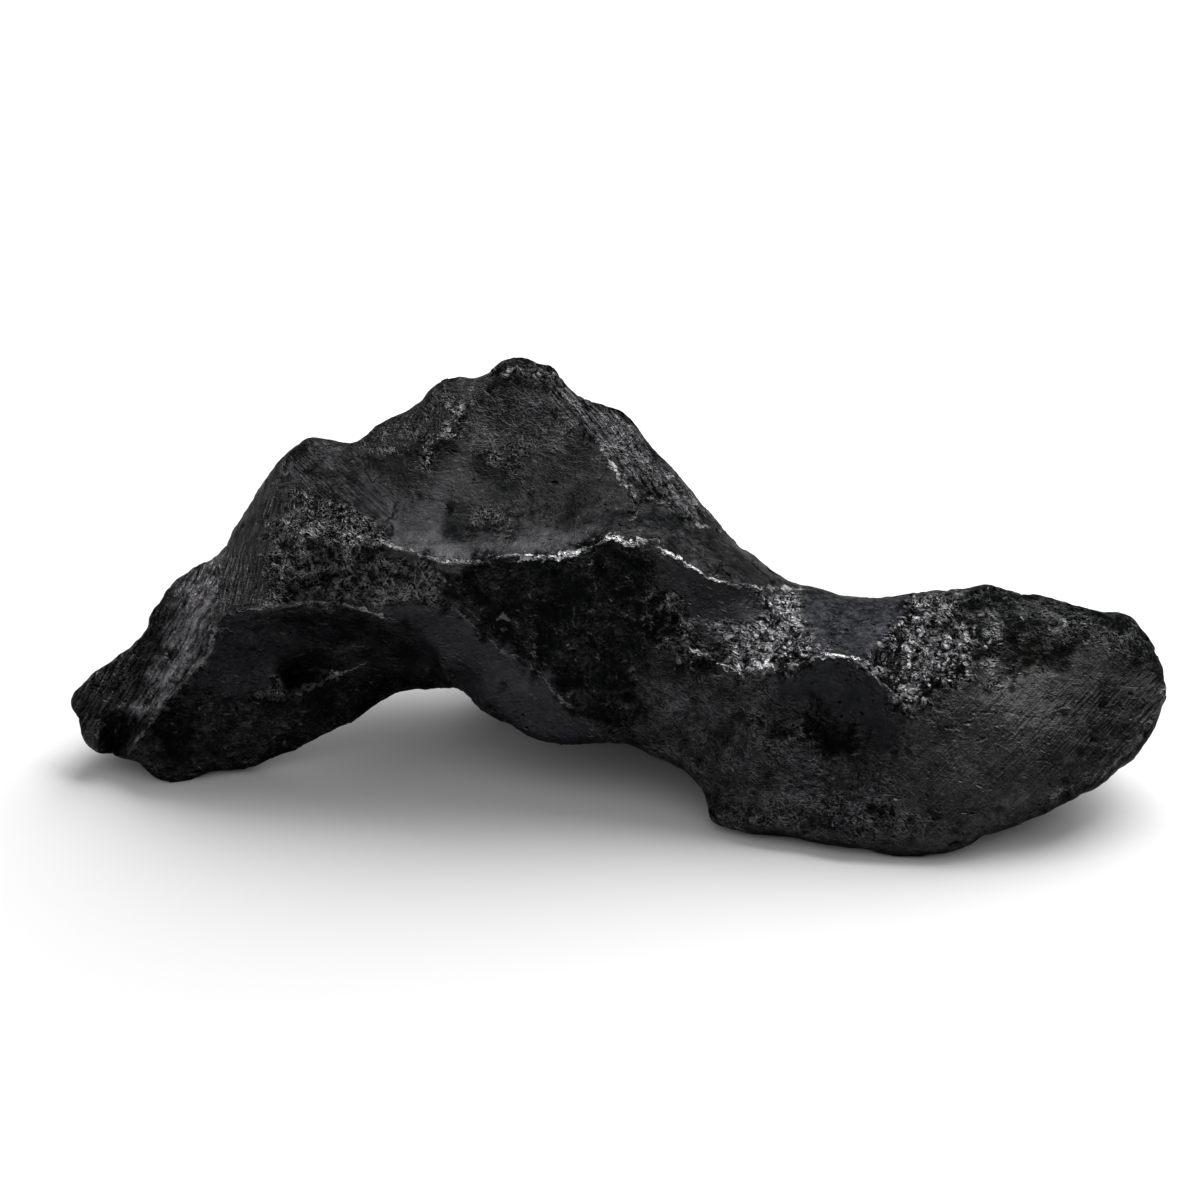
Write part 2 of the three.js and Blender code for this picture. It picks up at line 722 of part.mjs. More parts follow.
function fade(t) {
  return t * t * (3 - 2 * t);
}

// Smooth noise from -1 to 1 with lumps of the given size.
function noise(point, size, seed) {
  const p = point.clone().divideScalar(size);
  const base = p.clone().floor();
  const f = p.sub(base);
  const w = [fade(f.x), fade(f.y), fade(f.z)];
  let sum = 0;
  for (let corner = 0; corner < 8; corner++) {
    const i = corner & 1;
    const j = (corner >> 1) & 1;
    const k = corner >> 2;
    const share = (i ? w[0] : 1 - w[0]) * (j ? w[1] : 1 - w[1]) * (k ? w[2] : 1 - w[2]);
    sum += share * hash(base.x + i + seed, base.y + j, base.z + k);
  }
  return 2 * sum - 1;
}

// A smooth curve through the listed places, with a point at each of them and every spacing between.
function samples(places, spacing, closed) {
  const curve = new THREE.CatmullRomCurve3(
    places.map(([across, up, toward]) => new THREE.Vector3(across, up, toward)),
    closed,
    "centripetal",
  );
  const spans = closed ? places.length : places.length - 1;
  const out = [];
  for (let i = 0; i < spans; i++) {
    const from = places[i];
    const to = places[(i + 1) % places.length];
    const steps = Math.max(1, Math.round(Math.hypot(to[0] - from[0], to[1] - from[1]) / spacing));
    for (let k = 0; k < steps; k++) {
      const part = k / steps;
      const at = curve.getPoint((i + part) / spans);
      const radius = closed ? from[3] + (to[3] - from[3]) * part : 0;
      out.push({ across: at.x, up: at.y, toward: at.z, radius });
    }
  }
  if (!closed) {
    const [across, up, toward] = places.at(-1);
    out.push({ across, up, toward, radius: 0 });
  }
  return out;
}

function inside(loop, x, y) {
  let within = false;
  for (let i = 0, j = loop.length - 1; i < loop.length; j = i++) {
    const a = loop[i];
    const b = loop[j];
    if (a.y > y !== b.y > y && x < ((b.x - a.x) * (y - a.y)) / (b.y - a.y) + a.x) within = !within;
  }
  return within;
}

// The nearest place on the outline to a point of the sketch: distance and edge radius.
function nearestRim(rim, across, up) {
  let best = Infinity;
  let radius = 0;
  rim.forEach((a, i) => {
    const b = rim[(i + 1) % rim.length];
    const dx = b.across - a.across;
    const dy = b.up - a.up;
    const along = ((across - a.across) * dx + (up - a.up) * dy) / (dx * dx + dy * dy);
    const part = Math.min(1, Math.max(0, along));
    const distance = Math.hypot(across - a.across - part * dx, up - a.up - part * dy);
    if (distance < best) {
      best = distance;
      radius = a.radius + part * (b.radius - a.radius);
    }
  });
  return { distance: best, radius };
}

// Delaunay triangles of points { x, y } inside the loop made of the first loopLength points.
function triangulate(points, loopLength) {
  const all = [
    ...points,
    { x: -FAR_CORNER, y: -FAR_CORNER },
    { x: FAR_CORNER, y: -FAR_CORNER },
    { x: 0, y: FAR_CORNER },
  ];
  const circle = (a, b, c) => {
    const [p, q, r] = [all[a], all[b], all[c]];
    const d = 2 * (p.x * (q.y - r.y) + q.x * (r.y - p.y) + r.x * (p.y - q.y));
    const [pp, qq, rr] = [p, q, r].map((v) => v.x * v.x + v.y * v.y);
    const x = (pp * (q.y - r.y) + qq * (r.y - p.y) + rr * (p.y - q.y)) / d;
    const y = (pp * (r.x - q.x) + qq * (p.x - r.x) + rr * (q.x - p.x)) / d;
    return { corners: [a, b, c], x, y, square: (p.x - x) ** 2 + (p.y - y) ** 2 };
  };
  let open = [circle(points.length, points.length + 1, points.length + 2)];
  const closed = [];
  const order = points.map((_, i) => i).sort((a, b) => points[a].x - points[b].x || a - b);
  for (const index of order) {
    const point = all[index];
    const edges = new Map();
    const kept = [];
    for (const triangle of open) {
      const dx = point.x - triangle.x;
      if (dx > 0 && dx * dx > triangle.square) {
        closed.push(triangle);
        continue;
      }
      if (dx * dx + (point.y - triangle.y) ** 2 > triangle.square) {
        kept.push(triangle);
        continue;
      }
      triangle.corners.forEach((a, i) => {
        const b = triangle.corners[(i + 1) % 3];
        const twin = b + "," + a;
        if (edges.has(twin)) edges.delete(twin);
        else edges.set(a + "," + b, [a, b]);
      });
    }
    for (const [a, b] of edges.values()) kept.push(circle(a, b, index));
    open = kept;
  }
  const loop = points.slice(0, loopLength);
  return [...closed, ...open]
    .map((triangle) => triangle.corners)
    .filter((corners) => corners.every((c) => c < points.length))
    .filter((corners) => {
      const x = corners.reduce((sum, c) => sum + all[c].x, 0) / 3;
      const y = corners.reduce((sum, c) => sum + all[c].y, 0) / 3;
      return inside(loop, x, y);
    });
}

// Points of one side's mesh: the outline, then the given marks, then a row next to the outline
// and an uneven fill. Marks are { x, y, ... } in the side's own plane.
function fillOutline(loop, marks, spacing, seed) {
  const points = [...loop, ...marks];
  const cell = spacing;
  const buckets = new Map();
  const key = (x, y) => Math.floor(x / cell) + "," + Math.floor(y / cell);
  const store = (p) => {
    const k = key(p.x, p.y);
    if (!buckets.has(k)) buckets.set(k, []);
    buckets.get(k).push(p);
  };
  const clear = (x, y, distance) => {
    for (let i = -1; i <= 1; i++)
      for (let j = -1; j <= 1; j++)
        for (const p of buckets.get(key(x + i * cell, y + j * cell)) ?? [])
          if (Math.hypot(p.x - x, p.y - y) < distance) return false;
    return true;
  };
  points.forEach(store);
  const add = (x, y, distance) => {
    if (!inside(loop, x, y) || !clear(x, y, distance)) return;
    const made = { x, y };
    points.push(made);
    store(made);
  };
  loop.forEach((p, i) => {
    const q = loop[(i + 1) % loop.length];
    const length = Math.hypot(q.x - p.x, q.y - p.y);
    const x = (p.x + q.x) / 2 + ((q.y - p.y) / length) * RIM_ROW;
    const y = (p.y + q.y) / 2 - ((q.x - p.x) / length) * RIM_ROW;
    add(x, y, RIM_CLEARANCE);
  });
  const rowHeight = spacing * Math.sqrt(0.75);
  const rows = Math.ceil(FILL_REACH / rowHeight);
  const columns = Math.ceil(FILL_REACH / spacing);
  for (let row = -rows; row <= rows; row++)
    for (let column = -columns; column <= columns; column++) {
      const shift = row % 2 ? 0.5 : 0;
      const jx = (hash(column, row, seed) - 0.5) * 2 * JITTER;
      const jy = (hash(column, row, seed + 1) - 0.5) * 2 * JITTER;
      add((column + shift + jx) * spacing, row * rowHeight + jy * spacing, spacing * CLEARANCE);
    }
  return points;
}

// Spreads fixed values over a side's mesh as a thin bending plate would: values is one array
// for each quantity, fixed says which points hold theirs, and stiffness is 0 at a sharp edge.
function bendPlate(points, triangles, loopLength, values, fixed, stiffness) {
  const count = points.length;
  const rows = points.map(() => new Map());
  const areas = new Float64Array(count);
  for (const corners of triangles) {
    for (let i = 0; i < 3; i++) {
      const [a, b, c] = [corners[i], corners[(i + 1) % 3], corners[(i + 2) % 3]];
      const [p, q, r] = [points[a], points[b], points[c]];
      const cross = (q.x - p.x) * (r.y - p.y) - (q.y - p.y) * (r.x - p.x);
      const dot = (q.x - p.x) * (r.x - p.x) + (q.y - p.y) * (r.y - p.y);
      const weight = dot / Math.abs(cross) / 2;
      rows[b].set(c, (rows[b].get(c) ?? 0) + weight);
      rows[c].set(b, (rows[c].get(b) ?? 0) + weight);
      areas[a] += Math.abs(cross) / 6;
    }
  }
  const equations = rows.map((row, i) => {
    if (i < loopLength) return null;
    const scale = Math.sqrt(stiffness[i] / areas[i]);
    const terms = [...row].map(([j, weight]) => [j, weight * scale]);
    terms.push([i, -terms.reduce((sum, term) => sum + term[1], 0)]);
    return terms;
  });
  const apply = (x) => {
    const out = new Float64Array(count);
    for (const terms of equations) {
      if (!terms) continue;
      let value = 0;
      for (const [j, weight] of terms) value += weight * x[j];
      for (const [j, weight] of terms) out[j] += weight * value;
    }
    for (let i = 0; i < count; i++) {
      if (fixed[i]) out[i] = 0;
    }
    return out;
  };
  const diagonal = new Float64Array(count).fill(LEAST_WEIGHT);
  for (const terms of equations) {
    for (const [j, weight] of terms ?? []) diagonal[j] += weight * weight;
  }
  const dot = (a, b) => a.reduce((sum, value, i) => sum + value * b[i], 0);
  return values.map((given) => {
    const x = Float64Array.from(given);
    const residual = apply(x).map((value) => -value);
    let ready = residual.map((value, i) => value / diagonal[i]);
    const step = Float64Array.from(ready);
    let energy = dot(residual, ready);
    const goal = energy * SOLVER_TOLERANCE;
    for (let turn = 0; turn < SOLVER_STEPS && energy > goal; turn++) {
      const pushed = apply(step);
      const size = energy / dot(step, pushed);
      for (let i = 0; i < count; i++) {
        x[i] += size * step[i];
        residual[i] -= size * pushed[i];
      }
      ready = residual.map((value, i) => value / diagonal[i]);
      const next = dot(residual, ready);
      for (let i = 0; i < count; i++) step[i] = ready[i] + (next / energy) * step[i];
      energy = next;
    }
    return x;
  });
}

// How far the surface has dropped back from its rounded edge's full height.
function edgeDrop(distance, radius) {
  const rest = Math.max(0, 1 - distance / radius);
  return radius * (1 - Math.sqrt(1 - rest * rest));
}

// The near side, as points of the part and triangles.
function nearSide(rim) {
  const loop = rim.map((place) => ({ x: place.across, y: place.up, toward: place.toward + place.radius }));
  const marks = [];
  for (const { stiffness, points } of Object.values(NEAR_LINES))
    for (const place of samples(points, NEAR_SPACING, false))
      marks.push({ x: place.across, y: place.up, toward: place.toward, stiffness });
  for (const [across, up, toward] of NEAR_POINTS) {
    marks.push({ x: across, y: up, toward, stiffness: 1 });
  }
  const points = fillOutline(loop, marks, NEAR_SPACING, NEAR_SEED);
  const triangles = triangulate(points, loop.length);
  const fixed = points.map((point) => point.toward !== undefined);
  const stiffness = points.map((point) => point.stiffness ?? 1);
  const given = points.map((point) => point.toward ?? 0);
  const [toward] = bendPlate(points, triangles, loop.length, [given], fixed, stiffness);
  const corners = points.map((point, i) => {
    const edge = nearestRim(rim, point.x, point.y);
    return fromSketch(point.x, point.y, toward[i] - edgeDrop(edge.distance, edge.radius));
  });
  return { points, corners, triangles };
}

// The highest and lowest places of the outline on an upright line of the sketch.
function rimSpan(rim, across) {
  const places = [];
  rim.forEach((a, i) => {
    const b = rim[(i + 1) % rim.length];
    if (a.across > across === b.across > across) return;
    const part = (across - a.across) / (b.across - a.across);
    const mix = (name) => a[name] + part * (b[name] - a[name]);
    places.push({ up: mix("up"), toward: mix("toward") - mix("radius") });
  });
  places.sort((a, b) => b.up - a.up);
  return [places[0], places.at(-1)];
}

// The far side, as points of the part and triangles.
function farSide(rim) {
  const loop = rim.map((place) => {
    const base = fromSketch(place.across, place.up, place.toward - place.radius);
    return { x: place.across, y: place.up * FAR_STRETCH, place: base };
  });
  const marks = [];
  for (const { across, points } of FAR_SECTIONS) {
    const [top, bottom] = rimSpan(rim, across);
    const start = fromSketch(across, top.up, top.toward);
    const end = fromSketch(across, bottom.up, bottom.toward);
    const path = [[start.y, start.z], ...points, [end.y, end.z]];
    const lengths = [0];
    for (let i = 1; i < path.length; i++)
      lengths.push(lengths[i - 1] + Math.hypot(path[i][0] - path[i - 1][0], path[i][1] - path[i - 1][1]));
    points.forEach(([y, z], i) => {
      const up = top.up + (lengths[i + 1] / lengths.at(-1)) * (bottom.up - top.up);
      const wide = across * (1 - towardOf(y, z) / EYE_DISTANCE);
      marks.push({ x: across, y: up * FAR_STRETCH, place: new THREE.Vector3(wide, y, z) });
    });
  }
  const points = fillOutline(loop, marks, FAR_SPACING, FAR_SEED);
  const triangles = triangulate(points, loop.length);
  const fixed = points.map((point) => point.place !== undefined);
  const stiffness = points.map(() => 1);
  const given = ["x", "y", "z"].map((axis) => points.map((point) => point.place?.[axis] ?? 0));
  const [xs, ys, zs] = bendPlate(points, triangles, loop.length, given, fixed, stiffness);
  const sight = new THREE.Vector3(0, -Math.cos(VIEW_TILT), Math.sin(VIEW_TILT));
  const corners = points.map((point, i) => {
    const edge = nearestRim(rim, point.x, point.y / FAR_STRETCH);
    const drop = edgeDrop(edge.distance, edge.radius);
    return new THREE.Vector3(xs[i], ys[i], zs[i]).addScaledVector(sight, drop);
  });
  return { points, corners, triangles };
}

function normalsOf(corners, triangles) {
  const normals = corners.map(() => new THREE.Vector3());
  for (const [a, b, c] of triangles) {
    const side = corners[b].clone().sub(corners[a]);
    const face = side.cross(corners[c].clone().sub(corners[a]));
    for (const i of [a, b, c]) normals[i].add(face);
  }
  return normals.map((normal) => normal.normalize());
}

// Evens out the surface without shrinking it, leaving the locked points where they are.
function smooth(corners, triangles, locked) {
  const around = corners.map(() => new Set());
  for (const [a, b, c] of triangles) {
    around[a].add(b).add(c);
    around[b].add(a).add(c);
    around[c].add(a).add(b);
  }
  for (let round = 0; round < SMOOTH_ROUNDS; round++)
    for (const share of [SMOOTH_IN, SMOOTH_OUT]) {
      const before = corners.map((corner) => corner.clone());
      corners.forEach((corner, i) => {
        if (locked[i]) return;
        const middle = new THREE.Vector3();
        for (const j of around[i]) middle.add(before[j]);
        corner.lerp(middle.divideScalar(around[i].size), share);
      });
    }
}

// Presses a hollow into the surface, deepest along the line from start to end.
function press(corners, normals, start, end, radius, depth, members) {
  const line = new THREE.Line3(start, end);
  const foot = new THREE.Vector3();
  const inward = new THREE.Vector3();
  for (const i of members) {
    if (corners[i].distanceTo(start) < radius) inward.sub(normals[i]);
  }
  inward.normalize();
  for (const i of members) {
    line.closestPointToPoint(corners[i], true, foot);
    const q = corners[i].distanceTo(foot) / radius;
    if (q < 1) corners[i].addScaledVector(inward, depth * (1 - q * q) ** HOLLOW_EDGE);
  }
}

// Raises a ridge with a sharp crest along a line of places.
function raise(corners, normals, places, width, height, members) {
  const foot = new THREE.Vector3();
  for (const i of members) {
    let distance = width;
    for (let k = 1; k < places.length; k++) {
      new THREE.Line3(places[k - 1], places[k]).closestPointToPoint(corners[i], true, foot);
      distance = Math.min(distance, corners[i].distanceTo(foot));
    }
    corners[i].addScaledVector(normals[i], height * (1 - distance / width) ** RIDGE_EDGE);
  }
}

function nearest(corners, members, measure) {
  let best = members[0];
  for (const i of members) {
    if (measure(i) < measure(best)) best = i;
  }
  return corners[best].clone();
}

// The whole closed surface: both sides share the outline's points.
function lump() {
  const rim = samples(OUTLINE, NEAR_SPACING, true);
  const near = nearSide(rim);
  const far = farSide(rim);
  const shift = near.points.length - rim.length;
  const corners = [...near.corners, ...far.corners.slice(rim.length)];
  const farIndex = (i) => (i < rim.length ? i : i + shift);
  const triangles = [
    ...near.triangles,
    ...far.triangles.map(([a, b, c]) => [farIndex(a), farIndex(c), farIndex(b)]),
  ];
  const locked = corners.map((_, i) => near.points[i]?.stiffness < SHARP_LINE);
  smooth(corners, triangles, locked);
  const nearMembers = near.points.map((_, i) => i);
  const farMembers = far.points.map((_, i) => farIndex(i));
  const farPlace = ([across, share]) => {
    const [top, bottom] = rimSpan(rim, across);
    const up = (top.up + share * (bottom.up - top.up)) * FAR_STRETCH;
    const gap = (point) => Math.hypot(point.x - across, point.y - up);
    const closer = (best, point, i) => (gap(point) < gap(far.points[best]) ? i : best);
    const closest = far.points.reduce(closer, 0);
    return corners[farIndex(closest)].clone();
  };
  for (const { at, length, turn, radius, depth } of NEAR_PITS) {
    const angle = THREE.MathUtils.degToRad(turn);
    const ends = [-0.5, 0.5].map((side) => {
      const x = at[0] + Math.cos(angle) * length * side;
      const y = at[1] + Math.sin(angle) * length * side;
      return nearest(corners, nearMembers, (i) => Math.hypot(near.points[i].x - x, near.points[i].y - y));
    });
    press(corners, normalsOf(corners, triangles), ...ends, radius, depth, nearMembers);
  }
  const ridges = FAR_RIDGES.map(({ points, width, height }) => {
    return { places: points.map(farPlace), width, height };
  });
  const hollows = FAR_HOLLOWS.map(({ at, radius, depth }) => ({ middle: farPlace(at), radius, depth }));
  for (const { places, width, height } of ridges)
    raise(corners, normalsOf(corners, triangles), places, width, height, farMembers);
  for (const { middle, radius, depth } of hollows)
    press(corners, normalsOf(corners, triangles), middle, middle, radius, depth, farMembers);
  const normals = normalsOf(corners, triangles);
  corners.forEach((corner, i) => {
    const broad = noise(corner, GRAIN_SIZE, GRAIN_SEED) * GRAIN_HEIGHT;
    const fine = noise(corner, FINE_GRAIN_SIZE, FINE_GRAIN_SEED) * FINE_GRAIN_HEIGHT;
    corner.addScaledVector(normals[i], broad + fine);
  });
  return { corners, triangles };
}

const wasm = await Module();
wasm.setup();

function solid(vertProperties, triVerts) {
  return new wasm.Manifold(new wasm.Mesh({ numProp: 3, vertProperties, triVerts }));
}

// A block whose top face is the floor.
function floorBlock() {
  const box = new THREE.BoxGeometry(FLOOR_BLOCK, FLOOR_BLOCK, FLOOR_BLOCK);
  const given = box.getAttribute("position");
  const corners = new Map();
  const places = [];
  const index = [];
  for (const i of box.index.array) {
    const place = [given.getX(i), given.getY(i), given.getZ(i) - FLOOR_BLOCK / 2];
    const name = place.join(",");
    if (!corners.has(name)) {
      corners.set(name, places.length / 3);
      places.push(...place);
    }
    index.push(corners.get(name));
  }
  return solid(new Float32Array(places), new Uint32Array(index));
}

// The lump with its underside cut flat where it meets the floor.
function ironFragment() {
  const { corners, triangles } = lump();
  const places = new Float32Array(corners.flatMap((corner) => corner.toArray()));
  const whole = solid(places, new Uint32Array(triangles.flat()));
  const cut = whole.subtract(floorBlock()).getMesh();
  const geometry = new THREE.BufferGeometry();
  geometry.setAttribute("position", new THREE.BufferAttribute(cut.vertProperties, 3));
  geometry.setIndex(new THREE.BufferAttribute(cut.triVerts, 1));
  geometry.computeBoundingBox();
  const middle = geometry.boundingBox.getCenter(new THREE.Vector3());
  geometry.translate(-middle.x, -middle.y, 0);
  geometry.computeVertexNormals();
  const iron = new THREE.MeshStandardMaterial({ color: IRON_COLOUR, roughness: 0.5, metalness: 0.7 });
  const mesh = new THREE.Mesh(geometry, iron);
  mesh.name = "iron_fragment";
  return mesh;
}

const group = new THREE.Group();
group.add(ironFragment());

export default group;
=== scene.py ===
"""A fragment of iron meteorite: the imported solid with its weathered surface.

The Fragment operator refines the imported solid, marks the finish of each facet, gives the surface its
pits, torn chips, lumps and flutes with Geometry Nodes, and paints it. The Stage operator adds the
floor, the light and the camera. Lengths in the lists below are millimetres, and places in them are
across and up on the sketch plane, which faces a viewer who looks down at the lump by SIGHT_TILT.
"""

import math

import bmesh
import bpy
import numpy as np
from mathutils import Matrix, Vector


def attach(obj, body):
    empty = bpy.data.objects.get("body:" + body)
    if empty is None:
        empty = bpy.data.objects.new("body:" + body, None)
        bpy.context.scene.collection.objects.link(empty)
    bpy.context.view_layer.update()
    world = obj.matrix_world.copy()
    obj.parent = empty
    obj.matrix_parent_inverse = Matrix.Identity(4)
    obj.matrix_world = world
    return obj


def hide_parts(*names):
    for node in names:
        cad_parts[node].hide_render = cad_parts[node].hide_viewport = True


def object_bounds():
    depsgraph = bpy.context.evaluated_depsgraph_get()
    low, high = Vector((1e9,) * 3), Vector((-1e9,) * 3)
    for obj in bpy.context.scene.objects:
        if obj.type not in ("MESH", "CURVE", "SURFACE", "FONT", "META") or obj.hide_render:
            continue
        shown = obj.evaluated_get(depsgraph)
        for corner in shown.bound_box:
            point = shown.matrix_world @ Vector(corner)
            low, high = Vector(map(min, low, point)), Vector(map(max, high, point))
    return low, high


bl_info = {
    "name": "Iron Meteorite Fragment",
    "version": (1, 0, 0),
    "blender": (4, 5, 0),
    "location": "3D View > Sidebar > Meteorite",
    "description": "Dresses the packed lump of iron and sets up its stage",
    "category": "Object",
}

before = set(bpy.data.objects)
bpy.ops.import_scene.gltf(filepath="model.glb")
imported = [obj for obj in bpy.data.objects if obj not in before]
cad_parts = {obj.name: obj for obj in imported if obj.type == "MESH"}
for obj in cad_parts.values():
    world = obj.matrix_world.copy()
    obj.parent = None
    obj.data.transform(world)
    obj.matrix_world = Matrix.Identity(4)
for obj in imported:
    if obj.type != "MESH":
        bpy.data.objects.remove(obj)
CAD_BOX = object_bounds()

NODE = "iron_fragment"
PIECE = "iron_surface"
MM = 0.001

SIGHT_TILT = math.radians(25)
EYE_DISTANCE = 233.0
SKETCH_MIDDLE = np.array([-1.0525, -4.368, 16.9])

REFINE_ROUNDS = 2
CREASE_COSINE = math.cos(math.radians(42))
MERGE_DISTANCE = 1e-6
LEAST_LENGTH = 1e-12

# Shares of Loop subdivision. A new point takes its edge's ends and the two corners opposite, and an old
# point keeps most of its place. On a crest both follow the crest alone.
END_SHARE = 0.375
OPPOSITE_SHARE = 0.125
CORNER_OF_THREE_SHARE = 0.1875
CREST_KEPT_SHARE = 0.75

# Rounds of evening that give the broad form and the sharpness of crests.
BROAD_ROUNDS = 24
NARROW_ROUNDS = 3
# How far a point faces the viewer when the facets' finish starts and when it is whole.
FACING_BAND = (-0.02, 0.1)
# Share of a facet above which the flutes run its way.
FLOW_SHARE = 0.3

# The borders of the facets waver: size, waves per millimetre and turn of each wave, and their slants.
WAVES = ((0.7, 0.8, 0.3), (0.45, 1.9, 1.7), (0.3, 4.3, 4.1))
RISING_SLANT = (1.1, 0.7)
FALLING_SLANT = (1.2, 0.5)
UP_OFFSET = 2.1
EXTRA_SOFT = 0.25

# Finish of the whole lump. hackle: torn, glinting iron. curl: curled ridges. rough: lumpy skin.
# pits: share of small round pits. flute: fine parallel flutes. tone: 0 is the darkest skin and 1 the
# light one, with more for torn metal; on two facets it also holds painted light and shade, noted at them.
# blue and brown: tints.
BASE_FINISH = {
    "hackle": 0.0, "curl": 0.05, "rough": 0.3, "pits": 0.45,
    "flute": 0.0, "tone": 0.42, "blue": 0.15, "brown": 0.15,
}


def facet(corners, soft, **finish):
    """A facet: its outline, the width of the blend at its edge, and its finish.

    Its flutes run at turn degrees from across.
    """
    return {"corners": corners, "soft": soft, **finish}


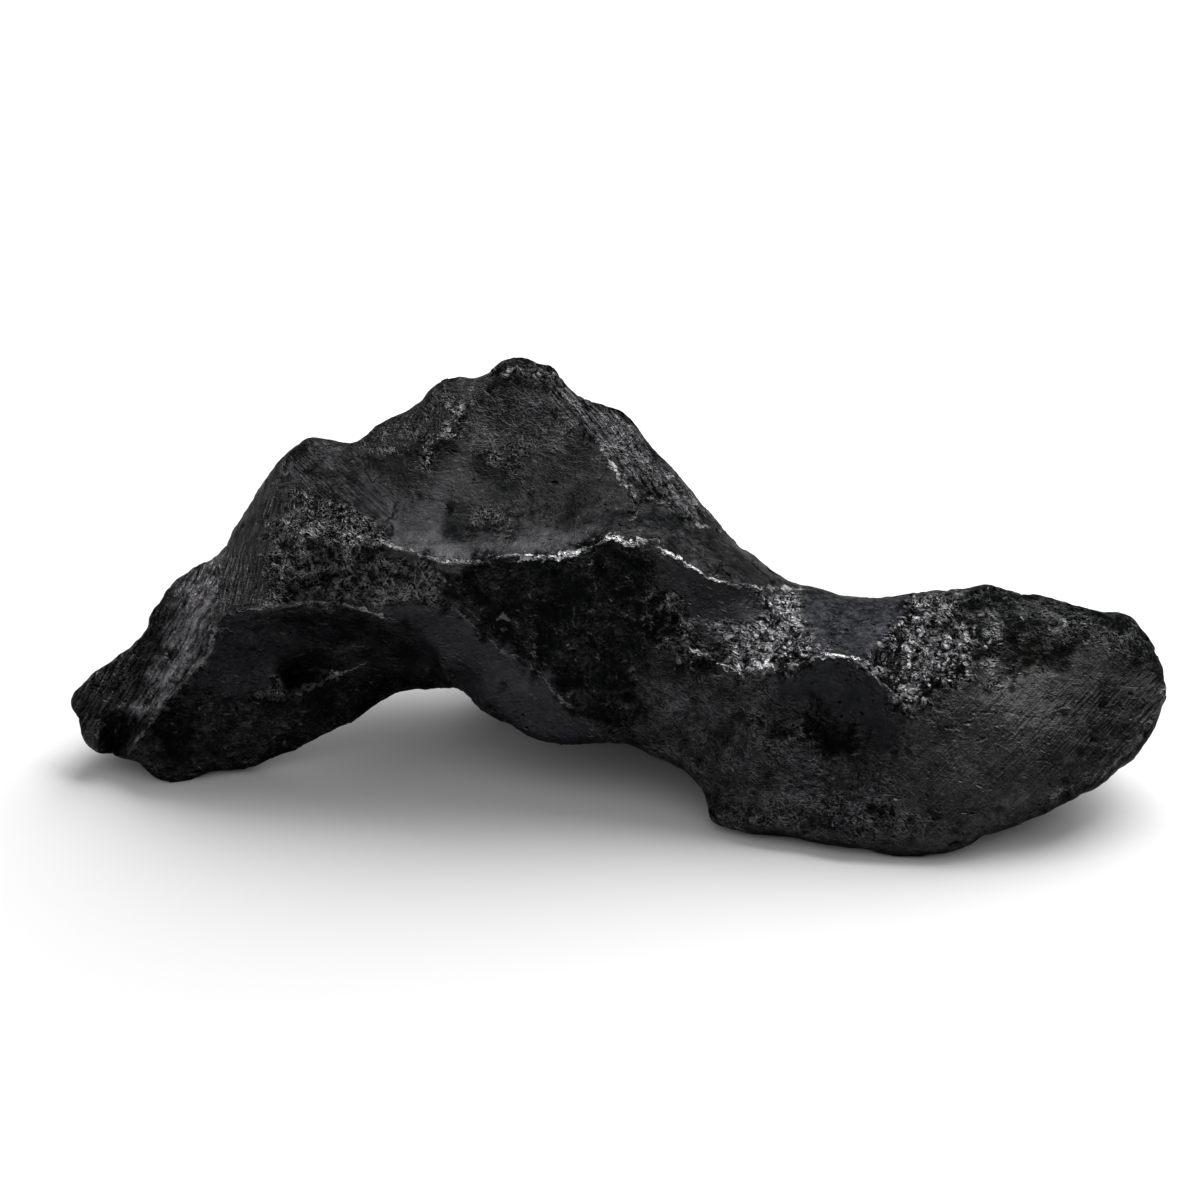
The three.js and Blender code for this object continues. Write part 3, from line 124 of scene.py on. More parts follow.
# Finish of the facets that the viewer sees, painted one over the other.
FACETS = {
    "slope of the leg": facet([
        (-49, -10), (-44.6, -4.2), (-40, 1), (-36.5, 4.4), (-34, 5.2), (-34.6, -1), (-35.2, -4.6),
        (-38.5, -8.3), (-42.3, -13.2), (-44, -10.6), (-47.6, -12.4),
    ], soft=0.4, flute=1.4, turn=58, rough=0.4, pits=0.6, tone=0.55),
    # Painted sheen: this strip's tone, far above the skin's, stands in for satin reflection on the
    # left-facing slope, over its real bright flecks and pits.
    "light strip beside the leg's crest": facet([
        (-37.6, 1.6), (-34.6, 3.6), (-34.8, -3), (-36.4, -6), (-40.5, -10.6), (-41.6, -9.6),
        (-38.6, -3.4),
    ], soft=1.1, flute=2.2, turn=58, tone=1.72, hackle=0.14, rough=0.4, curl=0.25, pits=1.3),
    "dull spot on the slope": facet([
        (-42.4, -3.4), (-40.6, -1.6), (-39.6, -2.6), (-41.4, -4.6),
    ], soft=0.5, flute=0.3, turn=58, tone=0.3),
    "toe notch": facet([
        (-45.6, -12.4), (-44.6, -10.9), (-43.3, -10.9), (-42.8, -12.6), (-43.4, -14.3), (-44.8, -13.6),
    ], soft=0.25, rough=0.6, flute=0, tone=0.1, brown=0.8),
    "upright side of the shoulder": facet([
        (-34.6, 5), (-31.2, 11), (-28.6, 14), (-27.2, 12), (-29.4, 9), (-30.6, 5), (-30.8, 1),
        (-29.8, -0.6), (-34.8, -1.2),
    ], soft=0.6, flute=0.8, turn=72, rough=0.2, pits=0.35, tone=0.78),
    "streaks from the shoulder into the bowl": facet([
        (-29, 13.4), (-26.5, 15.2), (-22.6, 14), (-19, 9), (-19.4, 5.6), (-22, 8), (-24.6, 9.8),
        (-28.4, 11.6),
    ], soft=0.7, flute=0.35, turn=-42, pits=0.1, tone=0.42),
    "smooth middle of the shoulder": facet([
        (-29, 9.8), (-26, 10.2), (-24.2, 9), (-25.4, 7.6), (-28.6, 7.8),
    ], soft=0.6, flute=0.3, turn=-42, rough=0.1, tone=0.4),
    "ring of chips on the shoulder": facet([
        (-28.6, 8.2), (-26.6, 9.4), (-24.6, 8.2), (-20.8, 8.2), (-19.8, 5.2), (-24, 4.8), (-27.6, 5.6),
        (-29.9, 5.8),
    ], soft=0.5, hackle=0.2, rough=0.3, pits=0.5, flute=0.1, tone=0.9, curl=1),
    "honeycomb under the shoulder": facet([
        (-30.6, 5.2), (-24, 4.7), (-20, 4.9), (-17.5, 4.1), (-14.6, 3.1), (-12, 2.8), (-12.4, 0.9),
        (-15, 0.2), (-20, -0.3), (-30.2, 0.3),
    ], soft=0.4, rough=0.8, hackle=0.1, pits=0.7, flute=0, tone=0.85, brown=0.3, curl=0.85),
    "hollow under the honeycomb": facet([
        (-28.6, 1.6), (-26.4, 2.6), (-23.6, 2.3), (-21, 1), (-24, 0.7), (-28, 0.8),
    ], soft=0.4, rough=0.7, tone=0.2, brown=0.3),
    "bowl": facet([
        (-24, 13.4), (-20, 14), (-16.2, 13), (-13.4, 15.6), (-12.4, 18), (-9, 19.8), (-5, 19.6),
        (-3, 16.2), (-0.6, 14.4), (1.4, 11.6), (3.8, 9.6), (2.6, 6.4), (-1, 4.9), (-6, 3.8), (-13, 3.1),
        (-18.4, 4.4), (-20.2, 6.4), (-21.4, 8.4),
    ], soft=0.5, rough=0.1, pits=0.1, hackle=0, tone=0.27, curl=0.03),
    "light floor of the bowl along its front crest": facet([
        (-19.4, 6.8), (-13, 5.6), (-6, 6.2), (0, 7.2), (2.4, 6.4), (-1, 4.9), (-6, 3.8), (-13, 3.1),
        (-18.4, 4.4),
    ], soft=1.2, tone=0.68),
    "wall of the bowl under the summit": facet([
        (-13.5, 16.5), (-10, 19.5), (-6, 19.8), (-3.5, 17.5), (-2.5, 14), (-6, 13.5), (-11, 13.8),
    ], soft=1.2, rough=0.2, tone=0.5, curl=0.15),
    "left side of the bowl": facet([
        (-20.5, 6), (-13.5, 6.5), (-12.5, 11.5), (-17, 13.2), (-20.5, 12.5),
    ], soft=1.5, tone=0.42, curl=0),
    "dull hollow in the bowl": facet([
        (-14.4, 8), (-12.4, 8.2), (-11.2, 6.4), (-12.6, 5.6), (-14.2, 6),
    ], soft=0.7, tone=0.16),
    "chips on the bowl's back": facet([
        (-10.2, 13.6), (-8.4, 14), (-6.4, 12.6), (-7, 11), (-9, 11.2),
    ], soft=0.6, hackle=0.1, pits=0.4, rough=0.3, tone=0.234, curl=0.4),
    "chips near the bowl's front": facet([
        (-11.6, 8), (-7.6, 7.4), (-8.2, 6.2), (-11.4, 6.6),
    ], soft=0.6, pits=0.6, rough=0.3, curl=0.3),
    "slope left of the summit": facet([
        (-22.4, 14.2), (-18.9, 17.4), (-15.2, 20), (-12.6, 20.6), (-12.2, 18.4), (-13.2, 16.2),
        (-15.6, 13.6), (-20, 13.9),
    ], soft=0.4, rough=0.3, flute=0.35, turn=50, pits=0.4, tone=0.62, curl=0.1),
    "flaky summit": facet([
        (-12, 20.4), (-9.6, 22), (-6, 22.6), (-2.6, 20), (-4.4, 19.2), (-8, 20), (-11.4, 19.4),
    ], soft=0.4, rough=0.7, hackle=0.25, pits=0.4, tone=0.7, curl=0.3),
    "flakes on the summit's spur": facet([
        (-13, 17.6), (-12, 17.4), (-13.8, 14.6), (-15.8, 12.8), (-16.2, 13.8), (-14.4, 15.6),
    ], soft=0.35, rough=0.6, hackle=0.5, tone=0.6, curl=1),
    "layered strip right of the summit": facet([
        (-3.6, 20), (-0.4, 18.8), (2.4, 17.6), (5.6, 13.8), (8.6, 10.6), (11.6, 7), (9, 7.2), (5.6, 8.8),
        (3.4, 9.8), (1.4, 12), (0.2, 14), (-2.6, 15.6), (-4.6, 18.6),
    ], soft=0.4, flute=1.5, turn=-52, rough=0.35, pits=0.2, tone=0.683, hackle=0.04, curl=0.35),
    "facet behind the neck's crest": facet([
        (3.2, 5.8), (4.3, 9.2), (7, 8.3), (11.4, 6.6), (13.6, 4.6), (18, 1.2), (13, 1.9), (10, 2.6),
        (6, 4.6),
    ], soft=0.35, rough=0.2, pits=0.25, flute=0, tone=0.345),
    # Partly painted shade: the front's low tone stands for a face turned from the overhead light, over its
    # own very dark, rough skin.
    "dark front under the bowl": facet([
        (-13.4, 3), (-6, 3.7), (0, 5.1), (3.5, 4.7), (4.5, 2.6), (4.6, 0.2), (4.6, -3), (3.4, -8),
        (3.4, -11.2), (0.6, -12.2), (-4, -8.4), (-8, -5), (-12, -1.6), (-14.6, 0.6),
    ], soft=0.35, rough=0.75, pits=0.6, tone=0.17, brown=0.15, curl=0.06),
    "smooth band of the arch": facet([
        (-20.4, -0.7), (-15, -0.3), (-12.4, -1.4), (-8.2, -5), (-5.2, -7), (-2.4, -10.6), (1, -13.2),
        (-6, -12.8), (-10, -10.4), (-13.4, -8.2), (-14, -6.2), (-17, -3.2),
    ], soft=0.4, rough=0.1, pits=0.1, tone=0.525, blue=0.45, curl=0),
    "lower end of the arch's band": facet([
        (-8, -8.5), (-4, -9), (-0.5, -12.3), (-4, -13.5), (-8, -12),
    ], soft=1.5, tone=0.42),
    "speckled edge between the dark front and the neck": facet([
        (4, 1.6), (6.4, 1), (8, -2), (9.4, -4.2), (12, -6.2), (9, -6.6), (6, -5), (4.4, -2.4),
    ], soft=0.5, hackle=0.4, rough=0.6, pits=0.5, tone=0.5, curl=0.4),
    "ramp of the neck": facet([
        (4.4, 4.6), (8.6, 2.9), (11.5, 1.3), (15, 0.9), (15, -1.8), (13.2, -5.2), (11.4, -4.6),
        (9.4, -3), (8, -1), (6, 1.4),
    ], soft=0.5, rough=0.12, pits=0.15, hackle=0, tone=0.502, blue=0.3, curl=0),
    "chips along the neck's lower crest": facet([
        (10.4, -2.4), (13.6, -2.6), (15.6, -1), (17.4, 0.2), (16, -5.6), (13, -6.8), (10.6, -5.2),
    ], soft=0.7, hackle=0.3, rough=0.3, tone=0.75, curl=0.7),
    "bright torn patch by the neck": facet([
        (15.6, 0), (17.6, 0.2), (18.4, -2), (20.4, -4.8), (18.4, -5.7), (15.2, -6.6), (13.4, -6.4),
        (14.8, -3.6),
    ], soft=0.6, hackle=1, rough=0.4, pits=0.4, tone=2.55, curl=0.8),
    "saddle of the block": facet([
        (18.4, 1.4), (27.5, 0.8), (26.6, -2), (27.4, -4.4), (23, -4.9), (20.4, -4.6), (18.8, -2),
    ], soft=0.8, hackle=0, rough=0.3, pits=0.35, tone=0.57, blue=0.5, curl=0),
    "bright torn patch on the block": facet([
        (28.4, 0.8), (31.6, 0.9), (32.8, -1.6), (34.4, -3.4), (33.8, -6.4), (31.4, -8.1), (28.8, -10),
        (27.5, -9.6), (26.2, -8), (24, -5.6), (26, -4.4), (27, -2.4),
    ], soft=0.5, hackle=1, rough=0.4, pits=0.4, tone=1.77, curl=0.8),
    "back of the block": facet([
        (31.8, 1), (36, 2), (46, -0.6), (49, -1.6), (51, -5.4), (47.6, -4.6), (43, -3.4), (36.6, -2.4),
        (35, -3), (33.2, -1.6),
    ], soft=0.6, rough=0.45, pits=0.6, hackle=0.08, tone=0.3, curl=0.2),
    "front of the block": facet([
        (4, -11.6), (7, -6.4), (13, -7), (19, -5.9), (24, -6.4), (27.5, -10), (34, -7.6), (43, -6.2),
        (50, -5.6), (52.4, -9), (46, -16), (38, -20), (33, -21.4), (20, -20.6), (9, -20.4), (8.4, -16),
        (5, -14),
    ], soft=0.4, rough=0.3, pits=0.5, tone=0.491, blue=0.2, brown=0.1, curl=0.12),
    "brown right part of the block": facet([
        (28, -11), (34, -8), (43, -6.6), (51, -7), (52.4, -9), (46, -16), (38, -20), (33, -21),
        (27, -19),
    ], soft=1.5, flute=0.28, turn=48, tone=0.556, blue=0, brown=0.12, rough=0.15, curl=0.05, pits=0.3),
    "right end of the block": facet([
        (42, -5), (51.5, -5.5), (52, -9), (47.5, -14), (42, -15.5),
    ], soft=2.0, tone=0.34, rough=0.15, pits=0.25, hackle=0, curl=0.03),
    "smooth facet under the torn patch": facet([
        (16, -6.8), (20.6, -5.3), (24, -6.6), (27.2, -10.2), (26.6, -13), (23.8, -12.2), (20.3, -9.6),
        (16.5, -8.8),
    ], soft=0.5, rough=0.08, pits=0.15, tone=0.4, blue=0.4, curl=0),
    "brown gouge": facet([
        (19.4, -9.8), (21.4, -10.2), (24, -13.4), (24.4, -15.6), (22.6, -15.4), (20.2, -12.8),
    ], soft=0.35, rough=0.4, pits=0.1, tone=0.36, brown=0.5, curl=0),
    "rough ledges on the block": facet([
        (13, -10.4), (17, -11), (20.4, -10.8), (20.6, -13.6), (17.6, -13.4), (13.6, -12),
    ], soft=0.4, rough=0.7, hackle=0.05, pits=0.5, tone=0.36, brown=0.3, curl=0.45),
    "hollow at the block's back": facet([
        (36.4, -3), (43.4, -3.8), (42, -5.8), (38, -7.2), (36, -6.4),
    ], soft=0.5, rough=0.6, pits=0.4, flute=0, tone=0.3, brown=0.4),
    "cleft beside the torn patch": facet([
        (34.5, -2.8), (36, -3), (36.2, -7.8), (34.6, -8),
    ], soft=0.3, rough=0.5, hackle=0.1, tone=0.12, brown=0.4, curl=0.6),
    "bevel of the right end": facet([
        (52.6, -8.4), (50.2, -8.8), (47.6, -12.4), (45.6, -15), (41, -17.4), (40.4, -19.8), (46, -17.6),
        (52, -11),
    ], soft=0.5, flute=0.6, turn=50, pits=0.4, tone=0.38, brown=0.25),
    "jagged foot of the block": facet([
        (9, -19.2), (15, -19.2), (21.6, -18.6), (30, -19.4), (30, -20.8), (20, -20.8), (9.4, -20.6),
    ], soft=0.8, rough=0.5, hackle=0.1, pits=0.7, tone=0.5, curl=0.25),
    "smooth bevel under the block": facet([
        (13, -21), (20, -20.9), (25, -21.1), (33, -20.9), (37.4, -20.2), (33.4, -23.2), (24, -23.6),
        (12, -22),
    ], soft=0.3, rough=0.1, pits=0.1, tone=0.42, brown=0.25),
    "inner face of the leg": facet([
        (-35, -1.6), (-30, -0.9), (-24, -0.5), (-21, -1.3), (-17, -3.6), (-13.8, -7), (-15, -8.2),
        (-20, -7.2), (-24, -6.7), (-28, -8.1), (-31, -9), (-38, -9.5), (-39, -8.9), (-36.4, -6.5),
        (-35.1, -4),
    ], soft=0.35, rough=0.15, pits=0.08, flute=0, tone=0.3, blue=0.4, curl=0.03),
    "lower band of the leg": facet([
        (-39.4, -9.2), (-30, -9.2), (-24, -7.4), (-17.6, -7.3), (-20, -9.6), (-26, -13.6), (-32, -15.9),
        (-39, -17.2), (-42.4, -13.4),
    ], soft=0.4, rough=0.4, pits=0.35, flute=0, tone=0.29, curl=0.04),
    "darkest part of the lower band": facet([
        (-29, -8.4), (-24, -7.4), (-17.6, -7.3), (-20, -9.4), (-24, -11.8), (-28.4, -13),
    ], soft=0.7, rough=0.5, tone=0.18, curl=0.04),
    "brown hollow in the lower band": facet([
        (-40.2, -10.6), (-38.6, -9.2), (-36.6, -9.6), (-37.2, -13), (-39.4, -14.2),
    ], soft=0.4, rough=0.9, pits=0.3, tone=0.12, brown=0.6),
    "cavity in the inner face": facet([
        (-28, -6.9), (-27, -6.2), (-25.2, -6.2), (-25.6, -7), (-27.4, -7.5),
    ], soft=0.25, rough=0.5, tone=0.05),
    "knob in the inner face": facet([
        (-31, -8.2), (-29.6, -7.4), (-28.8, -8.4), (-29.8, -9.3), (-30.9, -9),
    ], soft=0.3, rough=0.9, hackle=0.35, tone=0.5, curl=0.6),
}

# Worn crests, each with a line of painted highlight where it catches the light: how much each shines, its
# half width and its points.
CRESTS = [
    (0.26, 0.19, [(-19.9, 5.15), (-17.1, 4.4), (-14.5, 3.4), (-11.7, 3.3), (-8.1, 4.0)]),
    (0.85, 0.36, [(-8.1, 4.0), (-5.3, 3.8), (-2.2, 4.3), (0.4, 5.5), (1.6, 5.7), (2.7, 5.0), (3.9, 5.3)]),
    (0.8, 0.24, [
        (3.9, 5.3), (4.9, 5.05), (6.5, 4.0), (8.3, 3.1), (9.8, 2.0), (11.3, 1.5), (15.2, 1.1), (18, 1),
    ]),
    (0.9, 0.32, [
        (8.8, -4.7), (11.6, -6.1), (13.1, -6.7), (14.9, -6.1), (17.1, -6.25), (18.4, -5.6), (20.7, -5.0),
        (22.9, -5.3),
    ]),
    (0.3, 0.18, [(22.9, -5.3), (24.5, -6.6), (27.6, -9.5), (28.6, -9.9), (30.0, -8.7), (33.6, -7.05)]),
    (0.3, 0.2, [(-34.2, -1.3), (-31.5, -0.8), (-27.7, -0.3), (-23.1, -0.4), (-20.0, -1.4)]),
    (0.3, 0.25, [
        (-35.0, -2.6), (-35.4, -4.7), (-36.7, -6.3), (-38.5, -8.2), (-40.8, -11.3), (-42.1, -13.1),
    ]),
    (0.4, 0.3, [(-28.4, -8.4), (-27.1, -8.2), (-25.8, -7.8), (-24.2, -6.9), (-22.7, -6.3)]),
    (0.4, 0.24, [(-12.5, 17.5), (-13.0, 16.3), (-14.0, 15.15), (-15.0, 14.4), (-15.9, 13.4)]),
    (0.4, 0.22, [
        (-0.9, 15.0), (0.1, 13.7), (1.1, 12.2), (2.2, 10.4), (3.95, 9.7), (6.0, 8.9), (9.1, 6.8),
        (11, 6.4),
    ]),
    (0.35, 0.2, [(3.95, 9.1), (3.3, 7.7), (2.2, 6.6)]),
    (0.35, 0.2, [(-0.3, 15.6), (1.2, 13.9), (2.4, 12.0), (3.6, 10.7), (6.4, 9.6), (9.4, 7.5)]),
    (0.3, 0.2, [(0.6, 15.9), (2.3, 14.2), (3.9, 12.4), (5.4, 11.4), (7.6, 9.9)]),
    (0.3, 0.22, [(-13.4, 17.0), (-14.3, 15.9), (-15.4, 15.0), (-16.6, 14.2)]),
    (0.14, 0.2, [(-17.6, 13.5), (-19.6, 13.7), (-21.4, 13.4)]),
    (0.16, 0.2, [(-13.3, -0.7), (-11.7, -2.3), (-8.9, -4.8), (-6.6, -5.6), (-4.05, -8.4), (-0.7, -11.7)]),
    (0.14, 0.24, [(51.6, -7.6), (50.6, -10.2), (48.6, -13), (46, -15.4), (41, -18)]),
]

# Distance from a crest, in millimetres, at which its line of wear and painted highlight has faded out.
CREST_REACH = 2.4

# Marks made of others: a first value, and how much of each named mark is added.
BLENDS = {
    "torn": (0.0, (1.0, "hackle"), (0.3, "rough")),
    "chip amount": (0.006, (0.36, "hackle"), (0.03, "rough")),
    "glinting": (0.05, (0.4, "rough"), (0.6, "hackle")),
    "grainy": (0.2, (1.0, "rough")),
    "bumpy": (0.09, (0.9, "rough")),
    "coarse": (0.06, (1.0, "rough")),
}
# What lifts the skin in its bump, in millimetres: a factor, a pattern and the mark that it follows.
HEIGHT_TERMS = (
    (0.3, "fine", "bumpy"), (0.9, "chip Height", "torn"), (0.42, "small chip Height", "torn"),
    (0.26, "ridge Height", "curl"), (0.14, "small ridge Height", "curl"), (-0.2, "speck Mask"),
    (0.4, "scratches", "flute"), (0.16, "lip", "shine"), (0.08, "stroke Bright", "coarse"),
    (-0.08, "stroke Dark", "coarse"), (0.16, "broad stroke Bright", "coarse"),
    (-0.16, "broad stroke Dark", "coarse"),
)
# What lightens the skin, in the same way.
TONE_TERMS = (
    (0.11, "mottle"), (0.7, "relief"), (0.4, "fine", "grainy"), (-0.3, "speck Mask"),
    # painted light and shade: the slope term lightens the bump's slopes that face the overhead light and
    # darkens those turned away
    (1.8, "scratches", "flute"), (0.8, "raised"), (2.6, "chip Shade", "hackle"),
    (1.7, "small chip Shade", "hackle"), (-1.5, "chip Gap", "torn"), (-0.8, "small chip Gap", "torn"),
    (0.7, "ridge Height", "curl"), (-0.25, "curl"), (0.5, "small ridge Height", "curl"), (-0.2, "torn"),
    (-0.25, "stroke Dark", "coarse"), (-0.2, "broad stroke Dark", "coarse"),
    (0.15, "broad stroke Bright", "coarse"),
)
TONE_CAP = 2.3
TONE_POWER = 1.7
ROUGHNESS = 0.38
ROUGHNESS_TERMS = ((0.14, "rough"), (0.12, "mottle"), (-0.14, "bare"))
# How values are carried over: from low, from high, to low and to high, or else to 0 and 1.
BANDS = {
    "mottle": (0.3, 0.7, -0.5, 0.5),
    "swell": (0.38, 0.62, 0.3, 1.5),
    "lip": (0.9, 0.35),
    "gaps in the lip": (0.4, 0.55, 0.25, 1.0),
    "lit side of the line": (-0.3, 0.25, 0.2, 1.0),
    "crest": (0.05, 0.16),
    "broken skin": (0.4, 0.6),
    "gaps in the ridges": (0.42, 0.56, 0.1, 1.0),
    "gaps in the glints": (0.45, 0.6),
    "dull hollows": (-0.22, 0.0, 0.15, 1.0),
    # painted highlight: bare metal and glints are kept off slopes turned from the overhead light
    "dull slopes": (-0.25, 0.2, 0.3, 1.0),
    "curled ridge": (0.14, 0.0, -0.25, 0.35),
    "pit radius": (0.0, 1.0, 0.16, 0.42),
    "chance of a chip": (0.0, 0.06),
    "core of a chip": (0.8, 0.55),
    "gap at a chip": (0.55, 0.85),
    "bright stroke": (0.62, 0.7),
    "dark stroke": (0.38, 0.3),
    "fine ridge": (0.055, 0.01),
    "speck radius": (0.0, 1.0, 0.12, 0.4),
    "foot": (0.00005, 0.0012),
}
# Shares of bare metal on crests, and of bare metal and painted highlight on worn lines, chips and flakes,
# and of small patterns beside broad ones.
BARE_CREST = 0.3
BARE_LINE = 1.5
BARE_CHIP = 0.6
BARE_FLAKE = 0.7
SMALL_SHARE = 0.8
LINE_WANDER = 6.0
# Painted light: the side from which the overhead light falls. Slopes of the bump that face it are painted
# lighter and bare, and those turned away are painted darker.
PAINTED_LIGHT_SIDE = (0.3, 0.35, 0.88)
GLANCING_TINT = 0.42
BLUE_TINT = (0.86, 0.93, 1.18, 1.0)
BROWN_TINT = (1.25, 0.96, 0.74, 1.0)

# The middle of a random colour or shift.
MIDDLE = (0.5, 0.5, 0.5)
# How far each step of the seed moves the relief's noise, in metres.
SEED_SHIFT = (0.0173, 0.0317, 0.0059)
# What the relief takes off each noise, so that the surface moves in and out alike.
TORN_MIDDLE = 0.12
FLUTE_MIDDLE = 0.55
# Shares of the torn chips and of the lumps on rough and on plain skin, and depth of a pit in its radii.
ROUGH_CHIPS = 0.35
PLAIN_LUMPS = 0.12
PIT_FULLNESS = 2.4
# Waves of noise in a torn chip's width, for its curled ridges.
CURL_SCALE = 0.55
# Waves of noise in a millimetre, for the mottling and for how a worn line wanders and swells.
MOTTLE_SCALE = 0.35
WANDER_SCALE = 1.7
SWELL_SCALE = 0.55
# How closely flutes, scratches, strokes and pin pits are packed along, across and through the skin.
FLUTE_SCALE = (0.16, 1.1, 0.1)
SCRATCH_SCALE = (0.5, 4.6, 0.4)
STROKE_SCALE = (0.8, 1.3, 1.0)
SPECK_SCALE = (0.65, 1.35, 1.0)

PAPER_GRAIN_SCALE = 900.0
PAPER_BUMP_STRENGTH = 0.12
PAPER_BUMP_HEIGHT = 0.1 * MM
PAPER_ROUGHNESS = 0.85
LIGHT_OFFSET = Vector((0.24, 0.44, 0.52))
SENSOR_WIDTH = 36.0
CLIP_RANGE = (0.01, 20.0)


class SurfaceSizes(bpy.types.PropertyGroup):
    """Sizes and colours of the weathered surface."""

    hackle_size: bpy.props.FloatProperty(
        name="Hackle Size", description="Width of a torn chip", default=1.5 * MM, unit="LENGTH"
    )
    hackle_height: bpy.props.FloatProperty(
        name="Hackle Height", description="Height of a torn chip", default=0.8 * MM, unit="LENGTH"
    )
    pit_size: bpy.props.FloatProperty(
        name="Pit Spacing", description="Distance from pit to pit", default=1.25 * MM, unit="LENGTH"
    )
    pit_depth: bpy.props.FloatProperty(
        name="Pit Depth", description="Depth of a small pit", default=0.3 * MM, unit="LENGTH"
    )
    rough_size: bpy.props.FloatProperty(
        name="Lump Size", description="Width of the lumps of the rough skin",
        default=2.4 * MM, unit="LENGTH",
    )
    rough_height: bpy.props.FloatProperty(
        name="Lump Height", description="Height of the lumps of the rough skin",
        default=1.0 * MM, unit="LENGTH",
    )
    flute_height: bpy.props.FloatProperty(
        name="Flute Height", description="Height of the parallel flutes", default=0.62 * MM, unit="LENGTH"
    )
    seed: bpy.props.IntProperty(name="Seed", description="Changes where pits and chips fall", default=7)
    dark_colour: bpy.props.FloatVectorProperty(
        name="Dark Iron", description="Colour of the darkest skin", default=(0.004, 0.0045, 0.0045),
        subtype="COLOR", size=3, min=0, max=1,
    )
    light_colour: bpy.props.FloatVectorProperty(
        name="Light Iron", description="Colour of the lightest skin", default=(0.1, 0.1, 0.105),
        subtype="COLOR", size=3, min=0, max=1,
    )
    # Colour of the bare metal, used also for the painted glints and the painted highlight along the
    # crests.
    bare_and_glint_colour: bpy.props.FloatVectorProperty(
        name="Worn Iron", description="Colour of crests and chips worn to the metal",
        default=(0.6, 0.6, 0.61), subtype="COLOR", size=3, min=0, max=1,
    )


class StageSizes(bpy.types.PropertyGroup):
    """The floor, the light and the camera."""

    floor_size: bpy.props.FloatProperty(
        name="Floor Size", description="Side of the square floor", default=4.0, unit="LENGTH"
    )
    floor_colour: bpy.props.FloatVectorProperty(
        name="Floor Colour", description="Colour of the floor", default=(0.9, 0.9, 0.9),
        subtype="COLOR", size=3, min=0, max=1,
    )
    light_power: bpy.props.FloatProperty(
        name="Light Power", description="Power of the overhead light", default=8.5, unit="POWER"
    )
    light_size: bpy.props.FloatProperty(
        name="Light Size", description="Side of the overhead light", default=0.75, unit="LENGTH"
    )
    sky_strength: bpy.props.FloatProperty(
        name="Sky Strength", description="Strength of the light from all round", default=0.42
    )
    lens: bpy.props.FloatProperty(name="Lens", description="Focal length in millimetres", default=77.0)


def put(tree, kind, values=(), **settings):
    """Adds a node with its settings. values holds what goes into each input."""
    node = tree.nodes.new(kind)
    for key, value in settings.items():
        setattr(node, key, value)
    for key, value in dict(values).items():
        join(tree, node.inputs[key], value)
    return node


def join(tree, socket, value):
    """Links an input to another socket, or sets its value."""
    if isinstance(value, bpy.types.NodeSocket):
        tree.links.new(value, socket)
    else:
        socket.default_value = value


def maths(tree, operation, *values):
    """The result of a Math node."""
    return put(tree, "ShaderNodeMath", dict(enumerate(values)), operation=operation).outputs[0]


def product(tree, first, *factors):
    """Numbers multiplied together."""
    for factor in factors:
        first = maths(tree, "MULTIPLY", first, factor)
    return first


def total(tree, first, *terms):
    """A number plus the product of each term."""
    for term in terms:
        first = maths(tree, "ADD", first, product(tree, *term))
    return first


def centred(tree, value):
    """A value from 0 to 1 moved to lie about 0."""
    return maths(tree, "SUBTRACT", value, 0.5)


def vector_maths(tree, operation, *values):
    """The vector result of a Vector Math node."""
    return put(tree, "ShaderNodeVectorMath", dict(enumerate(values)), operation=operation).outputs[0]


def dot(tree, first, second):
    """The dot product of two vectors."""
    node = put(tree, "ShaderNodeVectorMath", {0: first, 1: second}, operation="DOT_PRODUCT")
    return node.outputs["Value"]


def scaled(tree, vector, factor):
    """A vector times a number."""
    values = {"Vector": vector, "Scale": factor}
    return put(tree, "ShaderNodeVectorMath", values, operation="SCALE").outputs[0]


def ramp(tree, value, low, high, to_low=0.0, to_high=1.0):
    """A value carried smoothly from one range to another."""
    values = {"Value": value, "From Min": low, "From Max": high, "To Min": to_low, "To Max": to_high}
    return put(tree, "ShaderNodeMapRange", values, interpolation_type="SMOOTHSTEP").outputs[0]


def banded(tree, value, name):
    """A value carried over by one of the named bands."""
    return ramp(tree, value, *BANDS[name])


def noise(tree, place, scale, detail, roughness=0.5, distortion=0.0, output=0):
    """Noise from 0 to 1."""
    values = {"Vector": place, "Scale": scale, "Detail": detail}
    values.update({"Roughness": roughness, "Distortion": distortion})
    return put(tree, "ShaderNodeTexNoise", values).outputs[output]


def warped(tree, place, scale, detail, reach):
    """A place moved to and fro by noise."""
    shift = vector_maths(tree, "SUBTRACT", noise(tree, place, scale, detail, output="Color"), MIDDLE)
    return vector_maths(tree, "ADD", place, scaled(tree, shift, reach))


def tilted(tree, cell, place):
    """Height of flat chips, one in each cell, each tilted its own way."""
    tilt = vector_maths(tree, "SUBTRACT", cell["Color"], MIDDLE)
    return dot(tree, tilt, vector_maths(tree, "SUBTRACT", place, cell["Position"]))


def rows_of(mesh):
    """Vertex places and triangle corners of a mesh as arrays, places in millimetres."""
    places = np.empty(len(mesh.vertices) * 3, np.float32)
    mesh.vertices.foreach_get("co", places)
    corners = np.empty(len(mesh.polygons) * 3, np.int32)
    mesh.polygons.foreach_get("vertices", corners)
    return places.reshape(-1, 3).astype(float) / MM, corners.reshape(-1, 3)


